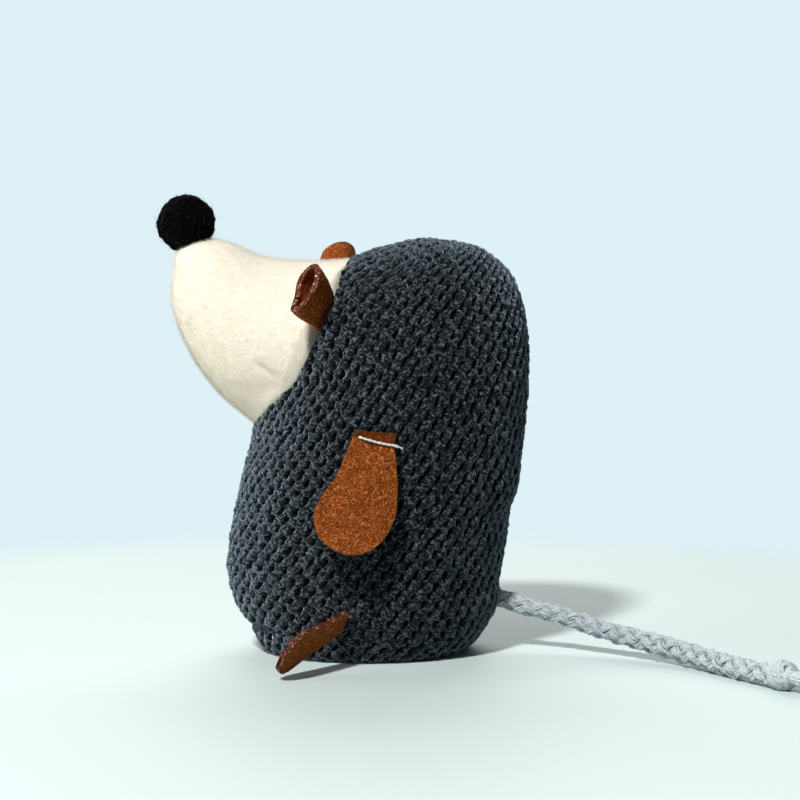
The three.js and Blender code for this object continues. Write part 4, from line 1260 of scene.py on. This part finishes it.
class MOUSE_OT_head(bpy.types.Operator):
    """Makes the two plush panels of the head with their pile"""

    bl_idname = "mouse.head"
    bl_label = "Head"

    columns, rows = 96, 84

    def form(self, columns, rows):
        turn = np.linspace(0, math.pi, columns)
        start = head_start(turn) - PLUSH_UNDER_KNIT / HEAD_LENGTH
        return np.array([head_surface(start + (1 - start) * w, turn) for w in np.linspace(0, 0.985, rows)])

    def execute(self, context):
        columns, rows = self.columns, self.rows
        coarse = self.form(17, 15)
        swelling = billow(coarse[:, ::-1], sewn_edges(coarse), HEAD_SWELL)[:, ::-1]
        grid = self.form(columns, rows)
        across = np.linspace(0, 1, columns)
        grid = grid + np.array([moved_by(swelling, w, across) for w in np.linspace(0, 1, rows)])
        index = np.arange(columns * rows).reshape(rows, columns)
        faces = []
        for k in range(rows - 1):
            faces += [(index[k, j], index[k + 1, j], index[k + 1, j + 1], index[k, j + 1]) for j in range(columns - 1)]
        flat = pulled(grid.reshape(-1, 3))
        tri = [f[:3] for f in faces] + [(f[0], f[2], f[3]) for f in faces]
        normals = face_normals(flat, tri)
        if np.mean(normals[:, 1]) > 0:
            faces = [f[::-1] for f in faces]
            normals = -normals
        rim = np.concatenate([index[0], index[1:, -1], index[-1, -2::-1], index[-2:0:-1, 0]])
        edge = edge_distance(flat, flat[rim])
        neck = running_length(grid[:, columns // 2])[:, None] * np.ones(columns)
        for side, hand in HANDS.items():
            rng = np.random.default_rng(5 if side == "left" else 6)
            lump = np.array([noise.noise(Vector(p) / 4.0 + Vector((rng.random(), 0, 0))) for p in flat])
            lift = 0.1 * lump - 0.4 - 0.6 * np.exp(-((edge / 0.8) ** 2))
            lift -= 0.3 * np.exp(-((neck.ravel() / 1.3) ** 2))
            if hand < 0:
                rel, way = flat[:, [0, 2]] - CREASE_START, CREASE_END - CREASE_START
                share = np.clip(rel @ way / (way @ way), 0, 1)
                away = np.linalg.norm(rel - share[:, None] * way, axis=1)
                fade = np.sin(np.clip(share, 0.05, 0.95) * math.pi) ** 0.5
                lift -= CREASE_DEPTH * np.exp(-((away / 0.9) ** 2)) * fade
            outer = flat + normals * lift[:, None]
            inner = flat - normals * PLUSH_CLOTH
            count = len(flat)
            closed = [list(f) for f in faces] + [[v + count for v in f[::-1]] for f in faces]
            for k in range(len(rim)):
                a, b = int(rim[k]), int(rim[(k + 1) % len(rim)])
                closed.append([a, b, b + count, a + count])
            every = np.concatenate([outer, inner])
            if hand > 0:
                every = every * MIRROR
            panel = new_piece(f"head_{side}_plush", every, closed)
            recalculate(panel)
            keep = np.zeros(len(every), bool)
            keep[:count] = True
            panel = fuzzed(panel, keep, "plush", sizes().pile_length / MM, rng, NECK_UP * -0.05, True)
            settle(panel, "plush", f"head_{side}_panel")
        return {"FINISHED"}


# Nose


class MOUSE_OT_nose(bpy.types.Operator):
    """Felts the nose ball and its loose hairs, and the thread that holds it"""

    bl_idname = "mouse.nose"
    bl_label = "Nose"

    def execute(self, context):
        rng = np.random.default_rng(21)
        low, high = box_of("nose_ball")
        radius = (high[1] - low[1]) / 2
        middle = np.array([low[0] + radius, 0.0, high[2] - radius])
        deselect()
        bpy.ops.mesh.primitive_ico_sphere_add(subdivisions=6, radius=radius * MM, location=middle * MM)
        ball = bpy.context.object
        bpy.ops.object.transform_apply(location=True, rotation=False, scale=False)
        ball.name = "nose_wool"
        bpy.ops.object.shade_smooth()
        facets = unit(rng.normal(0, 1, (26, 3)))
        points = points_of(ball) - middle
        flat = np.max(unit(points) @ facets.T, axis=1)
        points *= (1 - 0.02 * smooth(0.93, 1.0, flat))[:, None]
        set_points(ball, points + middle)
        roughen(ball, 0.5, 3.2, 2)
        roughen(ball, 0.3, 0.9, 5)
        at, way = scatter(ball, NOSE_HAIRS, rng)
        lines, share = [], np.linspace(0, 1, 5)
        for p, n in zip(at, way):
            along = unit(np.cross(n, rng.normal(0, 1, 3)))
            reach, rise = rng.uniform(*NOSE_HAIR_LENGTHS), rng.uniform(0.05, 0.55) ** 1.5
            bow = np.cross(n, along) * rng.normal(0, 0.7)
            line = p - n * 0.1 + along * (share * reach)[:, None] + n * (rise * share)[:, None]
            lines.append(line + bow * (share**2)[:, None] - n * ((share * reach) ** 2 / (2 * radius))[:, None] * 0.9)
        hairs = gather([tube(line, round_section(NOSE_HAIR_RADIUS, 3), None, 1 - 0.6 * share) for line in lines])
        pale = np.where(rng.random(len(lines)) < 0.3, rng.uniform(0.1, 0.55, len(lines)), 0.01)
        faces = [list(p.vertices) for p in ball.data.polygons]
        points = points_of(ball)
        bpy.data.objects.remove(ball)
        ball = new_piece("nose_wool", *gather([(points, faces), hairs]))
        set_attribute(ball, "hair", np.concatenate([np.zeros(len(points)), np.repeat(pale, 3 * len(share))]))
        settle(ball, "wool", "nose_ball")
        self.holding_thread()
        return {"FINISHED"}

    def holding_thread(self):
        """The thread from the ball into the head, with its knot."""
        low, high = box_of("nose_thread")
        start, end = np.array([low[0] + 0.5, 0.0, high[2] - 0.5]), np.array([high[0] - 1.6, 0.0, low[2] + 1.6])
        lines = plies(np.linspace(start, end, 30), 0.2, 1.6)
        knot = wraps(end, end - start, 0.8, 0.5, 2.5, 1.4, 60)
        piece = new_piece("nose_stay", *gather([tube(line, round_section(0.24, 8)) for line in [*lines, knot]]))
        settle(piece, "thread", "nose_thread")


# Felt


def paddle(u, v, length, root, radius):
    """Flat place of a sheet's point (u, v): a straight root, bowed sides and a round end."""
    centre, meet, tip, split = length - radius, math.radians(15), math.radians(45), 0.57

    def side(share):
        t = np.clip(share / split, 0, 1)
        end = np.array([radius * math.cos(meet), centre - radius * math.sin(meet)])
        bowed = ((1 - t) ** 2)[:, None] * np.array([root / 2, 0]) + (2 * t * (1 - t))[:, None] * np.array(
            [radius * 0.75, centre * 0.55]) + (t**2)[:, None] * end
        angle = -meet + np.clip((share - split) / (1 - split), 0, 1) * (tip + meet)
        arc = np.stack([radius * np.cos(angle), centre + radius * np.sin(angle)], 1)
        return np.where((share < split)[:, None], bowed, arc)

    mirror = np.array([-1.0, 1.0])
    right, left = side(v), side(v) * mirror
    angle = math.pi - tip - u * (math.pi - 2 * tip)
    top = np.stack([radius * np.cos(angle), centre + radius * np.sin(angle)], 1)
    bottom = np.stack([(u - 0.5) * root, np.zeros_like(u)], 1)
    corners = {key: side(np.array([float(key)]))[0] for key in (0, 1)}
    u, v = u[:, None], v[:, None]
    ruled = (1 - v) * bottom + v * top + (1 - u) * left + u * right
    blend = ((1 - u) * (1 - v) * corners[0] * mirror + u * (1 - v) * corners[0]
             + (1 - u) * v * corners[1] * mirror + u * v * corners[1])
    return ruled - blend


def felt_piece(name, shape, columns, rows, seed, felt):
    """A felt sheet: a grid bent to shape(u, v), given its thickness and a melted cut edge."""
    sheet = started(name, bpy.ops.mesh.primitive_grid_add, x_subdivisions=columns, y_subdivisions=rows, size=1)
    flat = points_of(sheet) * MM + 0.5
    made = shape(flat[:, 0], flat[:, 1])
    set_points(sheet, made)
    border = np.flatnonzero((np.abs(flat[:, :2] - 0.5) > 0.4999).any(axis=1))
    order = np.argsort(np.arctan2(flat[border, 1] - 0.5, flat[border, 0] - 0.5))
    loop = made[border[order]]
    dress(sheet, "felt", "felt_edge")
    thick = sheet.modifiers.new("thickness", "SOLIDIFY")
    thick.thickness, thick.offset, thick.use_even_offset = felt, 0.0, False
    thick.material_offset_rim = 1
    rounded = sheet.modifiers.new("cut edge", "BEVEL")
    rounded.width, rounded.segments, rounded.limit_method = 0.5 * MM, 3, "ANGLE"
    rounded.angle_limit = math.radians(50)
    apply_modifiers(sheet)
    bpy.ops.object.shade_smooth()
    recalculate(sheet)
    roughen(sheet, 0.14, 1.3, seed)
    sheet = fuzzed(sheet, None, "felt", FELT_FUZZ, np.random.default_rng(seed))
    set_attribute(sheet, "edge", edge_distance(points_of(sheet), loop))
    return sheet


class MOUSE_OT_arms(bpy.types.Operator):
    """Cuts the felt arms and sews each on with its stitch"""

    bl_idname = "mouse.arms"
    bl_label = "Arms"

    def execute(self, context):
        for side, hand in HANDS.items():
            outward = np.array([0.0, hand, 0.0])
            root = joint(f"arm_{side}_swing")
            across = np.array([math.cos(ARM_TILT), 0.0, -math.sin(ARM_TILT)])
            flat = np.array([-math.sin(ARM_TILT), 0.0, -math.cos(ARM_TILT)])
            strip = 0.12

            def shape(u, v):
                below = paddle(u, np.clip((v - strip) / (1 - strip), 0, 1), ARM_LENGTH, ARM_ROOT_WIDTH,
                               ARM_ROUND_RADIUS)
                slant = ARM_TAB_TOP + ARM_TAB_SLANT * (u - 0.5) * ARM_ROOT_WIDTH
                above = np.stack([(u - 0.5) * ARM_ROOT_WIDTH, (v / strip - 1) * slant], 1)
                place = np.where((v < strip)[:, None], above, below)
                y = place[:, 1]
                stand = np.where(y > 0, y * math.sin(ARM_STAND_OFF), 0.12 * y)
                cup = ARM_CURVE * np.clip(y, 0, None) ** 2 - 0.008 * place[:, 0] ** 2 * smooth(0, 12, y)
                run = np.where(y > 0, y * math.cos(ARM_STAND_OFF), y)
                front, back = (np.interp(y, ARM_TRIM_HEIGHTS, shares) for shares in (ARM_TRIM_FRONT, ARM_TRIM_BACK))
                aside = place[:, 0] * np.where(place[:, 0] < 0, front, back)
                return (root + aside[:, None] * across + run[:, None] * flat + (stand + cup)[:, None] * outward)

            arm = felt_piece(f"arm_{side}_felt", shape, 26, 44, 4 + hand, sizes().felt)
            below = (points_of(arm) - root) @ flat
            edge = arm.data.attributes["edge"]
            distances = np.empty(len(below), np.float32)
            edge.data.foreach_get("value", distances)
            # The felt above the stitch is drawn darker than the rest of the arm.
            edge.data.foreach_set("value", np.where(below < -STITCH_ABOVE_ROOT, 0.15 * distances, distances).astype(np.float32))
            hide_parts(f"arm_{side}", f"arm_{side}_tab")
            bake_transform(arm)
            self.stitch(side, root, across, flat, outward)
        return {"FINISHED"}

    def stitch(self, side, root, across, flat, outward):
        """One long stitch over the arm, its ends turned down into the knit and one left loose."""
        middle = root - flat * STITCH_ABOVE_ROOT
        ways = [(-3.5, -0.9), (-3.6, 0.4), (-3.3, STITCH_PROUD), (-1.0, STITCH_PROUD + 0.15),
                (2.0, STITCH_PROUD + 0.12), (4.6, STITCH_PROUD), (5.5, 0.5), (5.7, -0.9)]
        line = spline(np.array([middle + across * a + outward * o + flat * (0.25 - 0.012 * (a - 0.8) ** 2)
                                for a, o in ways]), np.linspace(0, 1, 90))
        loose = spline(np.array([middle + across * a + outward * o + flat * d for a, o, d in (
            (4.5, 1.25, 0.0), (5.4, 1.2, 0.15), (6.4, 0.9, 0.1), (7.3, 0.6, 0.35))]), np.linspace(0, 1, 24))
        thick = sizes().thread / MM / 4
        lines = [*plies(line, thick, 2.4), *plies(loose, thick * 0.8, 3.0)]
        piece = new_piece(f"arm_{side}_thread", *gather([tube(p, round_section(thick * 1.1, 10)) for p in lines]))
        settle(piece, "thread", f"arm_{side}_stitch")


class MOUSE_OT_feet(bpy.types.Operator):
    """Cuts the felt feet"""

    bl_idname = "mouse.feet"
    bl_label = "Feet"

    def execute(self, context):
        for side, hand in HANDS.items():
            root = joint(f"foot_{side}_bend")
            out = np.array([-math.sin(FOOT_SPLAY), hand * math.cos(FOOT_SPLAY), 0.0])
            along = out * math.cos(FOOT_DROOP) - UP * math.sin(FOOT_DROOP)
            level = unit(np.cross(UP, out))
            turn = Matrix.Rotation(-hand * FOOT_ROLL, 3, Vector(along))
            across = np.array(turn @ Vector(level))
            face = np.cross(across, along)

            def shape(u, v):
                place = paddle(u, v, FOOT_LENGTH, FOOT_ROOT_WIDTH, FOOT_ROUND_RADIUS)
                y = place[:, 1] - 1.4 * (1 - smooth(0, 3, place[:, 1]))
                cup = 0.010 * place[:, 0] ** 2 * smooth(0, 8, y)
                return root + place[:, 0, None] * across + y[:, None] * along + cup[:, None] * face * np.sign(face[2])

            foot = felt_piece(f"foot_{side}_felt", shape, 36, 48, 8 + hand, sizes().felt * 0.88)
            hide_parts(f"foot_{side}")
            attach(foot, f"foot_{side}")
        return {"FINISHED"}


class MOUSE_OT_ears(bpy.types.Operator):
    """Rolls the felt ears into cups at the neck seam"""

    bl_idname = "mouse.ears"
    bl_label = "Ears"

    def execute(self, context):
        for side, hand in HANDS.items():
            root, angle = joint(f"ear_{side}_bend"), EAR_ANGLES[side]
            outward = np.array([0.0, hand, 0.0])
            radial = unit(NECK_UP * math.cos(angle) / NECK_HALF_HEIGHT + outward * math.sin(angle) / NECK_HALF_WIDTH)
            across = hand * unit(
                outward * NECK_HALF_WIDTH * math.cos(angle) - NECK_UP * NECK_HALF_HEIGHT * math.sin(angle)
                - NECK_OUT * NECK_HALF_WIDTH**2 * math.sin(2 * angle) / (2 * NECK_BEND_RADIUS))
            along = radial + EAR_LEANS[side] * NECK_OUT
            along = unit(along - across * (along @ across))
            behind = np.cross(across, along)
            seated = root - NECK_OUT * EAR_SEAT
            half, rim_depth = sizes().ear_felt / MM / 2, EAR_RIM_DEPTHS[side]

            def shape(u, v):
                turn = EAR_ROLL * (2 * u - 1)
                place = turn - hand * EAR_NOTCH_TURN
                share = np.clip((v - 0.08) / 0.92, 0, 1)
                opened = np.sin(share * math.pi / 2)
                pinch = smooth(0, 0.08, v)
                deep = (2 * half + (rim_depth / 2 - 2 * half) * opened - half) * (0.35 + 0.65 * pinch)
                wide = EAR_ROOT_WIDTH / 2 + (EAR_RIM_WIDTH - EAR_ROOT_WIDTH) / 2 * opened - half
                rise = EAR_LENGTH * share * (1 - 0.22 * np.sin(turn / 2) ** 2) - 1.6 * (1 - pinch)
                curl = EAR_CURL * smooth(math.radians(120), EAR_ROLL, np.abs(turn)) * opened
                return (seated + along * rise[:, None] + across * (wide * np.sin(place))[:, None]
                        + behind * (deep * np.cos(place) + curl)[:, None])

            ear = felt_piece(f"ear_{side}_felt", shape, 48, 20, 12 + hand, sizes().ear_felt)
            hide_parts(f"ear_{side}")
            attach(ear, f"ear_{side}")
        return {"FINISHED"}


# Inside


class MOUSE_OT_filling(bpy.types.Operator):
    """Fills the body and head with fibre and lays the catnip sachet on the base"""

    bl_idname = "mouse.filling"
    bl_label = "Filling"

    def lump(self, name, node, place, material, slot, seed, height=0.5):
        """A ball of loose fibre, pressed into the form that place gives for a ball's directions."""
        piece = started(name, bpy.ops.mesh.primitive_uv_sphere_add, segments=64, ring_count=40, radius=1)
        set_points(piece, place(unit(points_of(piece))))
        bpy.ops.object.shade_smooth()
        recalculate(piece)
        roughen(piece, height, 5.0, seed)
        settle(piece, material, node)
        return piece

    def execute(self, context):
        pocket = box_of("sachet_top_sheet")[1][2] + 1.2

        def body(directions):
            turn = np.arctan2(np.hypot(directions[:, 1], 1e-9), -directions[:, 0])
            ring = 0.17 + 0.79 * np.arccos(np.clip(-directions[:, 2], -1, 1)) / math.pi
            at = body_surface(ring, turn)
            at[:, 1] *= -np.sign(directions[:, 1])
            centre = np.array([2.0, 0.0, 52.0])
            at = centre + (at - centre) * 0.875
            ahead = np.maximum(beyond_neck(at) + 3.5, 0)
            at -= ahead[:, None] * NECK_OUT
            near = np.linalg.norm(at[:, :2], axis=1) < 22
            at[:, 2] = np.where(near, np.maximum(at[:, 2], pocket + 0.8), np.maximum(at[:, 2], 3.5))
            at[:, 0] = np.minimum(at[:, 0], np.where(np.hypot(at[:, 1], at[:, 2] - 13.4) < 8, 19.0, 99.0))
            return pulled(at)

        def head(directions):
            turn = np.arctan2(np.hypot(directions[:, 1], 1e-9), directions @ -NECK_UP)
            share = 0.06 + 0.72 * np.arccos(np.clip(-directions @ NECK_OUT, -1, 1)) / math.pi
            at = head_surface(share, turn)
            at[:, 1] *= -np.sign(directions[:, 1])
            centre = NECK_CENTRE + NECK_OUT * 16 - NECK_UP * 3
            return pulled(centre + (at - centre) * 0.83)

        self.lump("body_fibre", "body_stuffing", body, "fibrefill", "fibrefill", 1)
        self.lump("head_fibre", "head_stuffing", head, "fibrefill", "fibrefill", 2)

        low, high = box_of("catnip_filling")
        middle, half = (low + high) / 2, (high - low) / 2

        def herb(directions):
            return middle + directions * half * 0.96

        self.lump("catnip_crumbs", "catnip_filling", herb, "herb", "herb", 3, 0.25)
        for name, way in (("sachet_top_sheet", 1), ("sachet_bottom_sheet", -1)):
            self.sachet(name, way)
        return {"FINISHED"}

    def sachet(self, node, way):
        """One round non-woven sheet, domed over the herb and flat at its sealed rim."""
        low, high = box_of(node)
        radius, rise = (high[0] - low[0]) / 2, (high[2] - low[2]) - 0.8
        rim = (low[2] if way > 0 else high[2]) + way * 0.4
        sheet = started(node.replace("sheet", "cloth"), bpy.ops.mesh.primitive_grid_add,
                        x_subdivisions=40, y_subdivisions=40, size=2)
        p = points_of(sheet)[:, :2] * MM
        square = np.max(np.abs(p), axis=1)
        disc = p * (square / np.maximum(np.linalg.norm(p, axis=1), 1e-9))[:, None]
        away = np.linalg.norm(disc, axis=1)
        turn = np.arctan2(disc[:, 1], disc[:, 0])
        dome = rise * np.sqrt(np.clip(1 - (away / 0.8) ** 2, 0, 1))
        crinkle = 0.12 * np.sin(turn * 17) * smooth(0.5, 0.8, away) * (1 - smooth(0.8, 0.86, away))
        made = np.stack([disc[:, 0] * radius * 0.99 + (low[0] + high[0]) / 2, disc[:, 1] * radius * 0.99,
                         rim + way * (dome + crinkle)], 1)
        set_points(sheet, made)
        thick = sheet.modifiers.new("thickness", "SOLIDIFY")
        thick.thickness, thick.offset = 0.7 * MM, 0.0
        apply_modifiers(sheet)
        bpy.ops.object.shade_smooth()
        recalculate(sheet)
        settle(sheet, "sachet", node)


# Stage


CAMERA_PLACE, CAMERA_TILT, CAMERA_LENS = (0.0084, -0.526, 0.0953), math.radians(86.8), 90.0
KEY_HEADING, KEY_ELEVATION, KEY_AWAY, KEY_AIM = Vector((0.38, 0.92, 0.0)).normalized(), math.radians(46), 1.3, 0.055
KEY_TRAVEL = KEY_HEADING * math.cos(KEY_ELEVATION) - Vector((0, 0, 1)) * math.sin(KEY_ELEVATION)
# Each lamp's name, place, height aimed at, shape, size, power and colour.
LAMPS = (
    ("key_light", Vector((0, 0, KEY_AIM)) - KEY_TRAVEL * KEY_AWAY, KEY_AIM, "DISK", 0.14, 17.4, (1.0, 1.0, 1.0)),
    ("back_fill", (0.0, 0.9, 0.75), 0.05, "SQUARE", 1.0, 9.0, (1.0, 1.0, 1.0)),
    ("front_fill", (-0.85, -0.06, 0.08), 0.06, "SQUARE", 0.5, 5.0, (1.0, 0.95, 0.87)),
)


class MOUSE_OT_stage(bpy.types.Operator):
    """Sets the floor, the background, the lights and the camera"""

    bl_idname = "mouse.stage"
    bl_label = "Stage"

    def execute(self, context):
        scene = context.scene
        scene.view_settings.view_transform = "Standard"
        colours = scene.mouse_colours
        self.floor(colours)
        self.world(scene, colours)
        for lamp in LAMPS:
            self.lamp(*lamp)
        bpy.ops.object.camera_add(location=CAMERA_PLACE, rotation=(CAMERA_TILT, 0, 0))
        camera = context.object
        camera.name = "photo_camera"
        camera.data.lens, camera.data.sensor_width, camera.data.clip_start = CAMERA_LENS, 36.0, 0.01
        scene.camera = camera
        return {"FINISHED"}

    def lamp(self, name, place, aim, shape, size, watts, colour):
        """An area lamp that points at a place above the floor's centre."""
        bpy.ops.object.light_add(type="AREA", location=place)
        lamp = bpy.context.object
        lamp.name = name
        lamp.data.shape, lamp.data.size, lamp.data.energy, lamp.data.color = shape, size, watts, colour
        lamp.rotation_euler = (Vector((0, 0, aim)) - Vector(place)).to_track_quat("-Z", "Y").to_euler()

    def floor(self, colours):
        deselect()
        bpy.ops.mesh.primitive_circle_add(vertices=96, radius=0.32, fill_type="NGON", location=(0, 0, -0.00005))
        floor = bpy.context.object
        floor.name = "floor"
        bpy.ops.object.transform_apply(location=True, rotation=False, scale=False)
        material = bpy.data.materials.new("Pale floor")
        material.use_nodes = True
        tree = material.node_tree
        shader = tree.nodes["Principled BSDF"].inputs
        shader["Roughness"].default_value = 0.6
        shader["Specular IOR Level"].default_value = 0.2
        place = object_place(tree)
        cloud = grain(tree, place, 6.0, 2.0)
        seen = mixed(tree, cloud, scaled(colours.floor, 0.98), colours.floor)
        path = add(tree, "ShaderNodeLightPath").outputs
        join(tree, shader["Base Color"], mixed(tree, path["Is Camera Ray"], scaled(colours.floor, 0.72), seen))
        away = add(tree, "ShaderNodeVectorMath", {0: place}, operation="LENGTH").outputs["Value"]
        join(tree, shader["Alpha"], add(tree, "ShaderNodeMapRange", {
            "Value": away, "From Min": 0.19, "From Max": 0.27, "To Min": 1.0, "To Max": 0.0},
            interpolation_type="SMOOTHSTEP").outputs["Result"])
        floor.data.materials.append(material)

    def world(self, scene, colours):
        world = bpy.data.worlds.new("Studio")
        scene.world = world
        world.use_nodes = True
        tree = world.node_tree
        ambient = tree.nodes["Background"]
        ambient.inputs["Color"].default_value = (0.95, 0.99, 1.0, 1.0)
        ambient.inputs["Strength"].default_value = 0.06
        seen = add(tree, "ShaderNodeBackground", {"Color": (*colours.backdrop, 1.0), "Strength": 1.0})
        path = add(tree, "ShaderNodeLightPath").outputs
        direct = maths(tree, "MAXIMUM", path["Is Camera Ray"], path["Is Transmission Ray"])
        mix = add(tree, "ShaderNodeMixShader", {0: direct, 1: ambient.outputs[0], 2: seen.outputs[0]})
        join(tree, tree.nodes["World Output"].inputs["Surface"], mix.outputs[0])


class MOUSE_PT_panel(bpy.types.Panel):
    """Lists the steps that build the mouse"""

    bl_idname = "MOUSE_PT_panel"
    bl_label = "Catnip Mouse"
    bl_space_type = "VIEW_3D"
    bl_region_type = "UI"
    bl_category = "Catnip Mouse"

    def draw(self, context):
        for group in (context.scene.mouse_sizes, context.scene.mouse_colours):
            for name in group.__annotations__:
                self.layout.prop(group, name)
        for step in STEPS:
            self.layout.operator(step.bl_idname)


STEPS = (MOUSE_OT_stage, MOUSE_OT_tail, MOUSE_OT_body, MOUSE_OT_head, MOUSE_OT_nose, MOUSE_OT_arms, MOUSE_OT_feet,
         MOUSE_OT_ears, MOUSE_OT_filling)
CLASSES = (MouseSizes, MouseColours, *STEPS, MOUSE_PT_panel)


def register():
    for cls in CLASSES:
        bpy.utils.register_class(cls)
    bpy.types.Scene.mouse_sizes = bpy.props.PointerProperty(type=MouseSizes)
    bpy.types.Scene.mouse_colours = bpy.props.PointerProperty(type=MouseColours)


def unregister():
    del bpy.types.Scene.mouse_colours
    del bpy.types.Scene.mouse_sizes
    for cls in reversed(CLASSES):
        bpy.utils.unregister_class(cls)


def main():
    register()
    for step in STEPS:
        group, name = step.bl_idname.split(".")
        getattr(getattr(bpy.ops, group), name)()
    bpy.context.view_layer.update()


if __name__ == "__main__":
    main()
